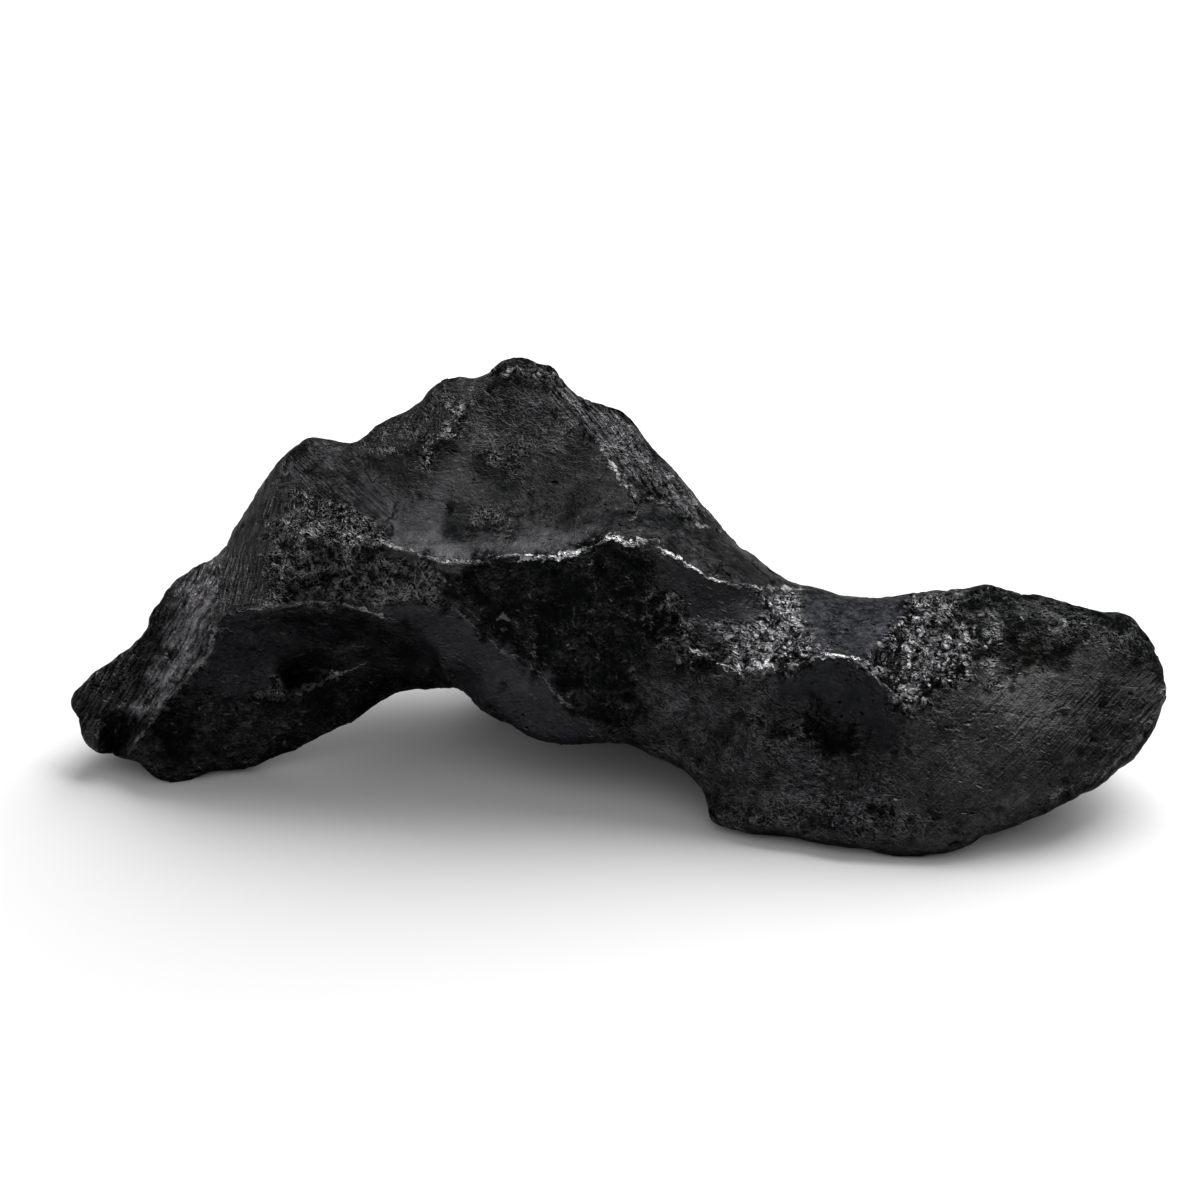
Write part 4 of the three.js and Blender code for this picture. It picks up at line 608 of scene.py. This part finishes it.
def merged_copy(node):
    """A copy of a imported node's mesh with its loose corners joined, as places and triangles."""
    work = bmesh.new()
    work.from_mesh(node.data)
    bmesh.ops.remove_doubles(work, verts=work.verts, dist=MERGE_DISTANCE)
    bmesh.ops.triangulate(work, faces=work.faces)
    mesh = bpy.data.meshes.new("merged")
    work.to_mesh(mesh)
    work.free()
    rows = rows_of(mesh)
    bpy.data.meshes.remove(mesh)
    return rows


def unit(vectors):
    """Rows of vectors brought to length 1."""
    return vectors / np.maximum(np.linalg.norm(vectors, axis=1, keepdims=True), LEAST_LENGTH)


def face_vectors(places, corners):
    """A vector square to each triangle, as long as twice its area."""
    a, b, c = (places[corners[:, i]] for i in range(3))
    return np.cross(b - a, c - a)


def point_normals(places, corners):
    """Unit normals of the points, weighted by the areas of their triangles."""
    faces = face_vectors(places, corners)
    sums = [
        sum(np.bincount(corners[:, i], faces[:, axis], len(places)) for i in range(3))
        for axis in range(3)
    ]
    return unit(np.stack(sums, 1))


def edges_of(corners):
    """Each edge once, and the edge numbers of the three sides of every triangle."""
    sides = np.concatenate([corners[:, [0, 1]], corners[:, [1, 2]], corners[:, [2, 0]]])
    edges, which = np.unique(np.sort(sides, 1), axis=0, return_inverse=True)
    return edges, which.reshape(3, -1)


def gathered(index, values, count):
    """Sums rows of values at each index."""
    return np.stack([np.bincount(index, values[:, axis], count) for axis in range(values.shape[1])], 1)


def both_ways(edges):
    """The start and the end of every edge, run both ways."""
    return np.concatenate([edges[:, 0], edges[:, 1]]), np.concatenate([edges[:, 1], edges[:, 0]])


def refined(places, corners):
    """One round of Loop subdivision, with sharp edges kept."""
    edges, which = edges_of(corners)
    count = len(places)
    faces = unit(face_vectors(places, corners))
    opposite = gathered(which.ravel(), places[corners[:, [2, 0, 1]].T.ravel()], len(edges))
    face_sum = gathered(which.ravel(), np.tile(faces, (3, 1)), len(edges))
    cosine = (np.sum(face_sum**2, 1) - 2) / 2
    sharp = cosine < CREASE_COSINE
    a, b = places[edges[:, 0]], places[edges[:, 1]]
    middles = END_SHARE * (a + b) + OPPOSITE_SHARE * opposite
    middles[sharp] = 0.5 * (a + b)[sharp]
    ends, others = both_ways(edges)
    valence = np.bincount(ends, minlength=count)[:, None]
    weight = np.where(valence == 3, CORNER_OF_THREE_SHARE, END_SHARE / valence)
    moved = (1 - valence * weight) * places + weight * gathered(ends, places[others], count)
    sharp_ends = np.tile(sharp, 2)
    sharp_count = np.bincount(ends[sharp_ends], minlength=count)
    along = gathered(ends[sharp_ends], places[others[sharp_ends]], count)
    on_crest = sharp_count == 2
    moved[on_crest] = (CREST_KEPT_SHARE * places + OPPOSITE_SHARE * along)[on_crest]
    moved[sharp_count > 2] = places[sharp_count > 2]
    ab, bc, ca = (which[i] + count for i in range(3))
    p, q, r = corners.T
    parts = [(p, ab, ca), (ab, q, bc), (ca, bc, r), (ab, bc, ca)]
    return np.concatenate([moved, middles]), np.concatenate([np.stack(part, 1) for part in parts])


def evened(places, edges, rounds):
    """Places moved halfway towards their neighbours' middle, round after round."""
    ends, others = both_ways(edges)
    valence = np.bincount(ends, minlength=len(places))[:, None]
    for _ in range(rounds):
        places = places + 0.5 * (gathered(ends, places[others], len(places)) / valence - places)
    return places


def smooth_step(low, high, value):
    """0 at low and beyond it, 1 at high and beyond it, with a smooth change between."""
    t = np.clip((value - low) / (high - low), 0, 1)
    return t * t * (3 - 2 * t)


def sketch_of(places):
    """Across, up and toward of places on the sketch, and the line of sight to each."""
    rest = places - SKETCH_MIDDLE
    sine, cosine = math.sin(SIGHT_TILT), math.cos(SIGHT_TILT)
    toward = rest[:, 2] * sine - rest[:, 1] * cosine
    shrink = 1 - toward / EYE_DISTANCE
    up = (rest[:, 1] * sine + rest[:, 2] * cosine) / shrink
    sight = EYE_DISTANCE * np.array([0, -cosine, sine]) - rest
    return rest[:, 0] / shrink, up, toward, sight / np.linalg.norm(sight, axis=1, keepdims=True)


def segment_distance(across, up, start, end):
    """Distance of places on the sketch to a straight piece of a line."""
    dx, dy = end[0] - start[0], end[1] - start[1]
    part = np.clip(((across - start[0]) * dx + (up - start[1]) * dy) / (dx * dx + dy * dy), 0, 1)
    return np.hypot(across - start[0] - part * dx, up - start[1] - part * dy)


def signed_distance(across, up, points):
    """Distance to a line of points, negative on its right-hand side."""
    nearest = np.full(len(across), np.inf)
    signed = np.full(len(across), np.inf)
    for start, end in zip(points, points[1:]):
        distance = segment_distance(across, up, start, end)
        side = (end[0] - start[0]) * (up - start[1]) - (end[1] - start[1]) * (across - start[0])
        closer = distance < nearest
        nearest[closer] = distance[closer]
        signed[closer] = np.where(side < 0, -distance, distance)[closer]
    return signed


def share_inside(across, up, corners, soft):
    """1 well inside an outline, 0 well outside, with a soft edge."""
    inside = np.zeros(len(across), bool)
    distance = np.full(len(across), np.inf)
    for start, end in zip(corners, corners[1:] + corners[:1]):
        distance = np.minimum(distance, segment_distance(across, up, start, end))
        spans = (start[1] > up) != (end[1] > up)
        if start[1] != end[1]:
            edge = (end[0] - start[0]) * (up - start[1]) / (end[1] - start[1]) + start[0]
            inside ^= spans & (across < edge)
    return smooth_step(-soft, soft, np.where(inside, distance, -distance))


def wavered(across, up):
    """Places moved a little to and fro, so that the facets' borders waver."""
    moved = []
    for offset, value in ((0.0, across), (UP_OFFSET, up)):
        wave = sum(
            size
            * np.sin(across * count * RISING_SLANT[0] + up * count * RISING_SLANT[1] + offset + turn)
            * np.sin(up * count * FALLING_SLANT[0] - across * count * FALLING_SLANT[1] + 2 * turn + offset)
            for size, count, turn in WAVES
        )
        moved.append(value + wave)
    return moved


def painted(places, corners):
    """The finish of every point as a dictionary of arrays, and its place along the flutes."""
    edges, _ = edges_of(corners)
    across, up, toward, sight = sketch_of(places)
    broad_normals = point_normals(evened(places, edges, BROAD_ROUNDS), corners)
    near = smooth_step(*FACING_BAND, np.sum(broad_normals * sight, 1))
    loose_across, loose_up = wavered(across, up)
    finish = {name: np.full(len(places), value) for name, value in BASE_FINISH.items()}
    flow = np.zeros((len(places), 3))
    for row in FACETS.values():
        share = near * share_inside(loose_across, loose_up, row["corners"], row["soft"] + EXTRA_SOFT)
        for name in BASE_FINISH:
            if name in row:
                finish[name] += share * (row[name] - finish[name])
        if "turn" in row:
            turn = math.radians(row["turn"])
            along = across * math.cos(turn) + up * math.sin(turn)
            beside = up * math.cos(turn) - across * math.sin(turn)
            chosen = share > FLOW_SHARE
            flow[chosen] = np.stack([along, beside, toward], 1)[chosen]
    shine = np.zeros(len(places))
    beside_crest = np.full(len(places), CREST_REACH)
    for brightness, width, points in CRESTS:
        distance = signed_distance(across, up, points)
        line = near * brightness * smooth_step(CREST_REACH, 0.5 * CREST_REACH, np.abs(distance))
        stronger = line > shine
        shine[stronger] = line[stronger]
        beside_crest[stronger] = distance[stronger] / width
    standing_out = places - evened(places, edges, NARROW_ROUNDS)
    finish["edge"] = np.sum(standing_out * point_normals(places, corners), 1)
    finish["shine"] = shine
    finish["beside"] = beside_crest
    return finish, flow


def surface_mesh(places, corners, finish, flow):
    """A mesh that carries the finish of its points."""
    mesh = bpy.data.meshes.new(PIECE)
    mesh.from_pydata((places * MM).tolist(), [], corners.tolist())
    for name, values in finish.items():
        attribute = mesh.attributes.new(name, "FLOAT", "POINT")
        attribute.data.foreach_set("value", values.astype(np.float32))
    attribute = mesh.attributes.new("flow", "FLOAT_VECTOR", "POINT")
    attribute.data.foreach_set("vector", flow.astype(np.float32).ravel())
    return mesh


def relief_tree():
    """Geometry Nodes that move the surface in and out for its chips, pits, lumps and flutes."""
    tree = bpy.data.node_groups.new("iron_relief", "GeometryNodeTree")
    kinds = {"Geometry": "NodeSocketGeometry", "Seed": "NodeSocketInt", "Material": "NodeSocketMaterial"}
    for name in (
        "Geometry", "Hackle Size", "Hackle Height", "Pit Spacing", "Pit Depth", "Lump Size",
        "Lump Height", "Flute Height", "Seed", "Material",
    ):
        tree.interface.new_socket(name, in_out="INPUT", socket_type=kinds.get(name, "NodeSocketFloat"))
    tree.interface.new_socket("Geometry", in_out="OUTPUT", socket_type="NodeSocketGeometry")
    given = tree.nodes.new("NodeGroupInput").outputs

    def mark(name, kind="FLOAT"):
        return put(tree, "GeometryNodeInputNamedAttribute", {"Name": name}, data_type=kind).outputs[0]

    position = put(tree, "GeometryNodeInputPosition").outputs[0]
    place = vector_maths(tree, "ADD", position, scaled(tree, SEED_SHIFT, given["Seed"]))
    bent = warped(tree, place, scale=800.0, detail=2.0, reach=0.0016)

    def cells(size):
        scale = maths(tree, "DIVIDE", 1.0, size)
        return put(tree, "ShaderNodeTexVoronoi", {"Vector": bent, "Scale": scale}).outputs

    # torn chips, with curled ridges over them
    size = given["Hackle Size"]
    curl = noise(tree, place, maths(tree, "DIVIDE", CURL_SCALE, size), detail=2.0, distortion=0.9)
    curl = banded(tree, maths(tree, "ABSOLUTE", centred(tree, curl)), "curled ridge")
    torn = maths(tree, "ADD", curl, maths(tree, "DIVIDE", tilted(tree, cells(size), bent), size))
    torn = maths(tree, "SUBTRACT", torn, TORN_MIDDLE)
    amount = total(tree, mark("hackle"), (mark("rough"), ROUGH_CHIPS))
    hackle = product(tree, torn, given["Hackle Height"], amount)

    # round pits, the wider the deeper
    cell = cells(given["Pit Spacing"])
    chance = put(tree, "FunctionNodeSeparateColor", {"Color": cell["Color"]}).outputs
    radius = banded(tree, chance["Red"], "pit radius")
    bowl = maths(tree, "SUBTRACT", 1.0, maths(tree, "DIVIDE", cell["Distance"], radius))
    bowl = maths(tree, "SQRT", maths(tree, "MAXIMUM", bowl, 0.0))
    there = maths(tree, "LESS_THAN", chance["Green"], mark("pits"))
    pits = product(tree, bowl, there, given["Pit Depth"], product(tree, radius, PIT_FULLNESS))

    lumps = noise(tree, place, maths(tree, "DIVIDE", 1.0, given["Lump Size"]), detail=3.0, roughness=0.6)
    amount = maths(tree, "ADD", mark("rough"), PLAIN_LUMPS)
    lumps = product(tree, centred(tree, lumps), given["Lump Height"], amount)

    run = vector_maths(tree, "MULTIPLY", mark("flow", "FLOAT_VECTOR"), FLUTE_SCALE)
    flutes = maths(tree, "SUBTRACT", noise(tree, run, 1.0, detail=2.0), FLUTE_MIDDLE)
    flutes = product(tree, flutes, given["Flute Height"], mark("flute"))

    height = put(tree, "ShaderNodeSeparateXYZ", {"Vector": position}).outputs["Z"]
    lift = maths(tree, "ADD", maths(tree, "ADD", hackle, lumps), maths(tree, "SUBTRACT", flutes, pits))
    lift = product(tree, lift, banded(tree, height, "foot"))
    values = {"Geometry": given["Geometry"], "Name": "relief", "Value": product(tree, lift, 1.0 / MM)}
    stored = put(tree, "GeometryNodeStoreNamedAttribute", values, data_type="FLOAT", domain="POINT")
    offset = scaled(tree, put(tree, "GeometryNodeInputNormal").outputs[0], lift)
    values = {"Geometry": stored.outputs[0], "Offset": offset}
    moved = put(tree, "GeometryNodeSetPosition", values).outputs[0]
    real = put(tree, "GeometryNodeRealizeInstances", {"Geometry": moved}).outputs[0]
    dressed = put(tree, "GeometryNodeSetMaterial", {"Geometry": real, "Material": given["Material"]})
    tree.links.new(dressed.outputs[0], tree.nodes.new("NodeGroupOutput").inputs[0])
    return tree


def opened_group(name, numbers):
    """A new shader node group with a Place and numbers as inputs, and the sockets of its inputs."""
    group = bpy.data.node_groups.new(name, "ShaderNodeTree")
    group.interface.new_socket("Place", in_out="INPUT", socket_type="NodeSocketVector")
    for socket, value in numbers.items():
        made = group.interface.new_socket(socket, in_out="INPUT", socket_type="NodeSocketFloat")
        made.default_value = value
    return group, group.nodes.new("NodeGroupInput").outputs


def closed_group(group, **results):
    """The same group with its results as outputs."""
    for name in results:
        group.interface.new_socket(name, in_out="OUTPUT", socket_type="NodeSocketFloat")
    end = group.nodes.new("NodeGroupOutput")
    for name, socket in results.items():
        group.links.new(socket, end.inputs[name])
    return group


def grain_group():
    """Fine grain of the skin: a height for bump, and mottling."""
    group, given = opened_group("iron_grain", {"Grain Size": 0.35})
    scale = maths(group, "DIVIDE", 1.0, given["Grain Size"])
    fine = noise(group, given["Place"], scale, detail=3.0, roughness=0.7)
    broad = noise(group, given["Place"], MOTTLE_SCALE, detail=3.0, roughness=0.6)
    return closed_group(group, Height=fine, Mottle=broad)


def chips_group():
    """Flat chips, each tilted its own way.

    Gives their height in chip sizes, a mask of the bright ones, the shade of each and the gaps between.
    """
    group, given = opened_group("iron_chips", {"Chip Size": 0.3, "Amount": 0.2})
    scale = maths(group, "DIVIDE", 1.0, given["Chip Size"])
    bent = warped(group, given["Place"], scale=0.9, detail=1.0, reach=1.6)
    values = {"Vector": bent, "Scale": scale}
    cell = put(group, "ShaderNodeTexVoronoi", values, distance="MANHATTAN").outputs
    chance = put(group, "ShaderNodeSeparateColor", {"Color": cell["Color"]}).outputs["Red"]
    there = banded(group, maths(group, "SUBTRACT", given["Amount"], chance), "chance of a chip")
    core = banded(group, cell["Distance"], "core of a chip")
    return closed_group(
        group,
        Height=maths(group, "MULTIPLY", tilted(group, cell, bent), scale),
        Mask=maths(group, "MULTIPLY", there, core),
        Shade=centred(group, chance),
        Gap=banded(group, cell["Distance"], "gap at a chip"),
    )


def strokes_group():
    """Short strokes that turn from place to place: masks of the bright ones and of the dark ones."""
    group, given = opened_group("iron_strokes", {"Stroke Size": 0.5})
    bent = warped(group, given["Place"], scale=0.14, detail=1.0, reach=5.0)
    bent = vector_maths(group, "MULTIPLY", bent, STROKE_SCALE)
    stroke = noise(group, bent, maths(group, "DIVIDE", 1.0, given["Stroke Size"]), detail=2.0)
    bright, dark = (banded(group, stroke, name) for name in ("bright stroke", "dark stroke"))
    return closed_group(group, Bright=bright, Dark=dark)


def ridges_group():
    """Curled ridges of torn iron: a height that is 1 along a ridge."""
    group, given = opened_group("iron_ridges", {"Ridge Size": 1.0})
    scale = maths(group, "DIVIDE", 1.0, given["Ridge Size"])
    curls = noise(group, given["Place"], scale, detail=2.5, roughness=0.55, distortion=1.3)
    away = maths(group, "ABSOLUTE", centred(group, curls))
    return closed_group(group, Height=banded(group, away, "fine ridge"))


def specks_group():
    """Pin pits: a mask that is 1 at the bottom of a pit."""
    group, given = opened_group("iron_specks", {"Spacing": 0.8, "Amount": 0.4})
    bent = warped(group, given["Place"], scale=0.5, detail=2.0, reach=3.5)
    bent = vector_maths(group, "MULTIPLY", bent, SPECK_SCALE)
    scale = maths(group, "DIVIDE", 1.0, given["Spacing"])
    cell = put(group, "ShaderNodeTexVoronoi", {"Vector": bent, "Scale": scale}).outputs
    chance = put(group, "ShaderNodeSeparateColor", {"Color": cell["Color"]}).outputs
    there = maths(group, "LESS_THAN", chance["Green"], given["Amount"])
    radius = banded(group, chance["Blue"], "speck radius")
    depth = maths(group, "SUBTRACT", 1.0, maths(group, "DIVIDE", cell["Distance"], radius))
    return closed_group(group, Mask=maths(group, "MULTIPLY", there, maths(group, "MAXIMUM", depth, 0.0)))


def iron_material(sizes):
    """Dark skin, lighter on slopes by painted light, with bare metal and painted glints on crests, ridges
    and torn chips.
    """
    material = bpy.data.materials.new("weathered_iron")
    material.use_nodes = True
    tree = material.node_tree
    tree.nodes.clear()

    def mark(name, output="Fac"):
        node = put(tree, "ShaderNodeAttribute", attribute_name=name, attribute_type="GEOMETRY")
        return node.outputs[output]

    def mixed(share, first, second, blend="MIX"):
        node = put(tree, "ShaderNodeMix", data_type="RGBA", blend_type=blend, clamp_factor=False)
        inputs = {socket.identifier: socket for socket in node.inputs}
        for key, value in (("Factor_Float", share), ("A_Color", first), ("B_Color", second)):
            join(tree, inputs[key], value)
        return next(socket for socket in node.outputs if socket.identifier == "Result_Color")

    def grouped(group, **values):
        node = put(tree, "ShaderNodeGroup", {"Place": place}, node_tree=group)
        for name, value in values.items():
            join(tree, node.inputs[name.replace("_", " ")], value)
        return node.outputs

    def named(terms):
        """Terms with the socket of each pattern in place of its name."""
        return [(factor, *(parts[name] for name in names)) for factor, *names in terms]

    place = scaled(tree, put(tree, "ShaderNodeTexCoord").outputs["Object"], 1.0 / MM)
    parts = {name: mark(name) for name in (*BASE_FINISH, "relief", "edge", "shine", "beside")}
    for name, (first, *terms) in BLENDS.items():
        parts[name] = total(tree, first, *named(terms))
    chips, ridges, strokes, amount = chips_group(), ridges_group(), strokes_group(), parts["chip amount"]
    patterns = {
        "grain": grouped(grain_group()),
        "chip": grouped(chips, Chip_Size=0.8, Amount=amount),
        "small chip": grouped(chips, Chip_Size=0.38, Amount=amount),
        "ridge": grouped(ridges, Ridge_Size=1.5),
        "small ridge": grouped(ridges, Ridge_Size=0.62),
        "stroke": grouped(strokes, Stroke_Size=0.55),
        "broad stroke": grouped(strokes, Stroke_Size=1.3),
        "speck": grouped(specks_group(), Spacing=0.75, Amount=parts["pits"]),
    }
    for name, outputs in patterns.items():
        parts.update({f"{name} {output.name}": output for output in outputs})
    clouds = parts["grain Mottle"]
    parts["mottle"] = banded(tree, clouds, "mottle")
    parts["fine"] = centred(tree, parts["grain Height"])
    run = vector_maths(tree, "MULTIPLY", mark("flow", "Vector"), SCRATCH_SCALE)
    parts["scratches"] = centred(tree, noise(tree, run, 1.0, detail=3.0))

    # a worn lip along each crest, which wanders, swells and breaks off; its lit side also carries the
    # painted highlight
    wander = centred(tree, noise(tree, place, WANDER_SCALE, detail=2.0))
    beside = maths(tree, "ABSOLUTE", total(tree, parts["beside"], (LINE_WANDER, wander)))
    swell = banded(tree, noise(tree, place, SWELL_SCALE, detail=1.0), "swell")
    lip = banded(tree, maths(tree, "DIVIDE", beside, swell), "lip")
    parts["lip"] = product(tree, lip, banded(tree, clouds, "gaps in the lip"))

    height = total(tree, 0.0, *named(HEIGHT_TERMS))
    bump = put(tree, "ShaderNodeBump", {"Height": height, "Strength": 1.0, "Distance": MM}).outputs[0]
    # painted light and shade: how far the bump turns the surface towards the overhead light, which
    # lightens the skin there and darkens it on the far side
    turned = vector_maths(tree, "SUBTRACT", bump, put(tree, "ShaderNodeNewGeometry").outputs["Normal"])
    raised = parts["raised"] = dot(tree, turned, PAINTED_LIGHT_SIDE)

    tone = maths(tree, "MINIMUM", total(tree, parts["tone"], *named(TONE_TERMS)), TONE_CAP)
    tone = maths(tree, "POWER", maths(tree, "MAXIMUM", tone, 0.0), TONE_POWER)
    skin = mixed(tone, (*sizes.dark_colour, 1.0), (*sizes.light_colour, 1.0))
    skin = mixed(parts["blue"], skin, BLUE_TINT, "MULTIPLY")
    skin = mixed(parts["brown"], skin, BROWN_TINT, "MULTIPLY")

    def larger(first, second):
        return maths(tree, "MAXIMUM", first, second)

    broken = banded(tree, parts["grain Height"], "broken skin")
    crest = product(tree, broken, BARE_CREST, banded(tree, parts["edge"], "crest"))
    # painted highlight: the line along each worn crest is bare metal only on its side that faces the
    # overhead light
    lit = banded(tree, raised, "lit side of the line")
    line = product(tree, BARE_LINE, parts["shine"], parts["lip"], lit)
    worn_and_highlit = larger(crest, maths(tree, "MINIMUM", line, 1.0))
    curled = larger(parts["ridge Height"], product(tree, parts["small ridge Height"], SMALL_SHARE))
    curled = product(tree, curled, parts["curl"], banded(tree, clouds, "gaps in the ridges"))
    flakes = larger(parts["chip Mask"], product(tree, parts["small chip Mask"], SMALL_SHARE))
    flakes = larger(product(tree, flakes, BARE_CHIP), curled)
    glints = banded(tree, clouds, "gaps in the glints")
    glints = product(tree, parts["stroke Bright"], parts["glinting"], glints)
    # bare metal on worn crests, curled ridges and chips, with painted glints from the bright strokes; it
    # is kept off hollows and off slopes turned from the overhead light, so all of it is partly a painted
    # highlight
    bare = larger(worn_and_highlit, product(tree, larger(flakes, glints), BARE_FLAKE))
    hollows = banded(tree, parts["relief"], "dull hollows")
    parts["bare"] = bare = product(tree, bare, hollows, banded(tree, raised, "dull slopes"))

    shader = put(
        tree, "ShaderNodeBsdfPrincipled",
        {
            "Base Color": mixed(bare, skin, (*sizes.bare_and_glint_colour, 1.0)), "Metallic": 1.0,
            "Roughness": total(tree, ROUGHNESS, *named(ROUGHNESS_TERMS)),
            "Specular Tint": (GLANCING_TINT, GLANCING_TINT, GLANCING_TINT, 1.0), "Normal": bump,
        },
    )
    output = tree.nodes.new("ShaderNodeOutputMaterial")
    tree.links.new(shader.outputs[0], output.inputs["Surface"])
    return material


def kept_inside(mesh, low, high):
    """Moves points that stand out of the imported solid's box back onto it."""
    places = np.empty(len(mesh.vertices) * 3, np.float32)
    mesh.vertices.foreach_get("co", places)
    places = np.clip(places.reshape(-1, 3), np.array(low, np.float32), np.array(high, np.float32))
    mesh.vertices.foreach_set("co", places.ravel())
    mesh.update()


class METEORITE_OT_fragment(bpy.types.Operator):
    """Build the weathered surface of the iron fragment"""

    bl_idname = "meteorite.fragment"
    bl_label = "Fragment"

    def execute(self, context):
        sizes = context.scene.meteorite_surface
        places, corners = merged_copy(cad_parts[NODE])
        for _ in range(REFINE_ROUNDS):
            places, corners = refined(places, corners)
        finish, flow = painted(places, corners)
        piece = bpy.data.objects.new(PIECE, surface_mesh(places, corners, finish, flow))
        context.scene.collection.objects.link(piece)
        tree = relief_tree()
        modifier = piece.modifiers.new("relief", "NODES")
        modifier.node_group = tree
        values = {
            "Hackle Size": sizes.hackle_size, "Hackle Height": sizes.hackle_height,
            "Pit Spacing": sizes.pit_size, "Pit Depth": sizes.pit_depth,
            "Lump Size": sizes.rough_size, "Lump Height": sizes.rough_height,
            "Flute Height": sizes.flute_height, "Seed": sizes.seed,
            "Material": iron_material(sizes),
        }
        for socket in tree.interface.items_tree:
            if socket.in_out == "INPUT" and socket.name in values:
                modifier[socket.identifier] = values[socket.name]
        graph = context.evaluated_depsgraph_get()
        mesh = bpy.data.meshes.new_from_object(piece.evaluated_get(graph))
        piece.modifiers.remove(modifier)
        piece.data = mesh
        mesh.name = PIECE
        mesh.shade_smooth()
        kept_inside(mesh, *CAD_BOX)
        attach(piece, "root")
        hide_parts(NODE)
        return {"FINISHED"}


def floor_material(colour):
    """Pale paper with a fine grain."""
    material = bpy.data.materials.new("paper_floor")
    material.use_nodes = True
    tree = material.node_tree
    shader = tree.nodes["Principled BSDF"]
    place = put(tree, "ShaderNodeTexCoord").outputs["Object"]
    fibres = noise(tree, place, PAPER_GRAIN_SCALE, detail=3.0)
    values = {"Height": fibres, "Strength": PAPER_BUMP_STRENGTH, "Distance": PAPER_BUMP_HEIGHT}
    bump = put(tree, "ShaderNodeBump", values)
    shader.inputs["Base Color"].default_value = (*colour, 1.0)
    shader.inputs["Roughness"].default_value = PAPER_ROUGHNESS
    tree.links.new(bump.outputs[0], shader.inputs["Normal"])
    return material


def aimed(obj, place, target):
    """Puts an object at a place with its -Z axis towards the target."""
    obj.location = place
    obj.rotation_mode = "QUATERNION"
    obj.rotation_quaternion = (Vector(target) - Vector(place)).to_track_quat("-Z", "Y")


class METEORITE_OT_stage(bpy.types.Operator):
    """Build the floor, the light and the camera"""

    bl_idname = "meteorite.stage"
    bl_label = "Stage"

    def execute(self, context):
        sizes = context.scene.meteorite_stage
        scene = context.scene
        half = sizes.floor_size / 2
        mesh = bpy.data.meshes.new("floor")
        corners = [(-half, -half, 0), (half, -half, 0), (half, half, 0), (-half, half, 0)]
        mesh.from_pydata(corners, [], [(0, 1, 2, 3)])
        mesh.materials.append(floor_material(sizes.floor_colour))
        floor = bpy.data.objects.new("floor", mesh)
        scene.collection.objects.link(floor)

        middle = Vector(SKETCH_MIDDLE) * MM
        lamp = bpy.data.lights.new("overhead_light", "AREA")
        lamp.shape = "SQUARE"
        lamp.size = sizes.light_size
        lamp.energy = sizes.light_power
        light = bpy.data.objects.new("overhead_light", lamp)
        aimed(light, middle + LIGHT_OFFSET, middle)
        scene.collection.objects.link(light)

        world = bpy.data.worlds.new("soft_room")
        world.use_nodes = True
        background = world.node_tree.nodes["Background"]
        background.inputs["Color"].default_value = (1, 1, 1, 1)
        background.inputs["Strength"].default_value = sizes.sky_strength
        scene.world = world

        lens = bpy.data.cameras.new("camera")
        lens.lens = sizes.lens
        lens.sensor_width = SENSOR_WIDTH
        lens.clip_start, lens.clip_end = CLIP_RANGE
        camera = bpy.data.objects.new("camera", lens)
        away = Vector((0, -math.cos(SIGHT_TILT), math.sin(SIGHT_TILT))) * EYE_DISTANCE * MM
        aimed(camera, middle + away, middle)
        scene.collection.objects.link(camera)
        scene.camera = camera
        scene.view_settings.view_transform = "Standard"
        return {"FINISHED"}


class METEORITE_PT_build(bpy.types.Panel):
    """Builds the fragment and its stage"""

    bl_idname = "METEORITE_PT_build"
    bl_label = "Meteorite"
    bl_space_type = "VIEW_3D"
    bl_region_type = "UI"
    bl_category = "Meteorite"

    def draw(self, context):
        layout = self.layout
        for sizes, operator in (
            (context.scene.meteorite_surface, METEORITE_OT_fragment.bl_idname),
            (context.scene.meteorite_stage, METEORITE_OT_stage.bl_idname),
        ):
            column = layout.column()
            for name in sizes.__annotations__:
                column.prop(sizes, name)
            column.operator(operator)


CLASSES = (SurfaceSizes, StageSizes, METEORITE_OT_fragment, METEORITE_OT_stage, METEORITE_PT_build)


def register():
    for cls in CLASSES:
        bpy.utils.register_class(cls)
    bpy.types.Scene.meteorite_surface = bpy.props.PointerProperty(type=SurfaceSizes)
    bpy.types.Scene.meteorite_stage = bpy.props.PointerProperty(type=StageSizes)


def unregister():
    del bpy.types.Scene.meteorite_stage
    del bpy.types.Scene.meteorite_surface
    for cls in reversed(CLASSES):
        bpy.utils.unregister_class(cls)


def main():
    register()
    bpy.ops.meteorite.fragment()
    bpy.ops.meteorite.stage()


if __name__ == "__main__":
    main()
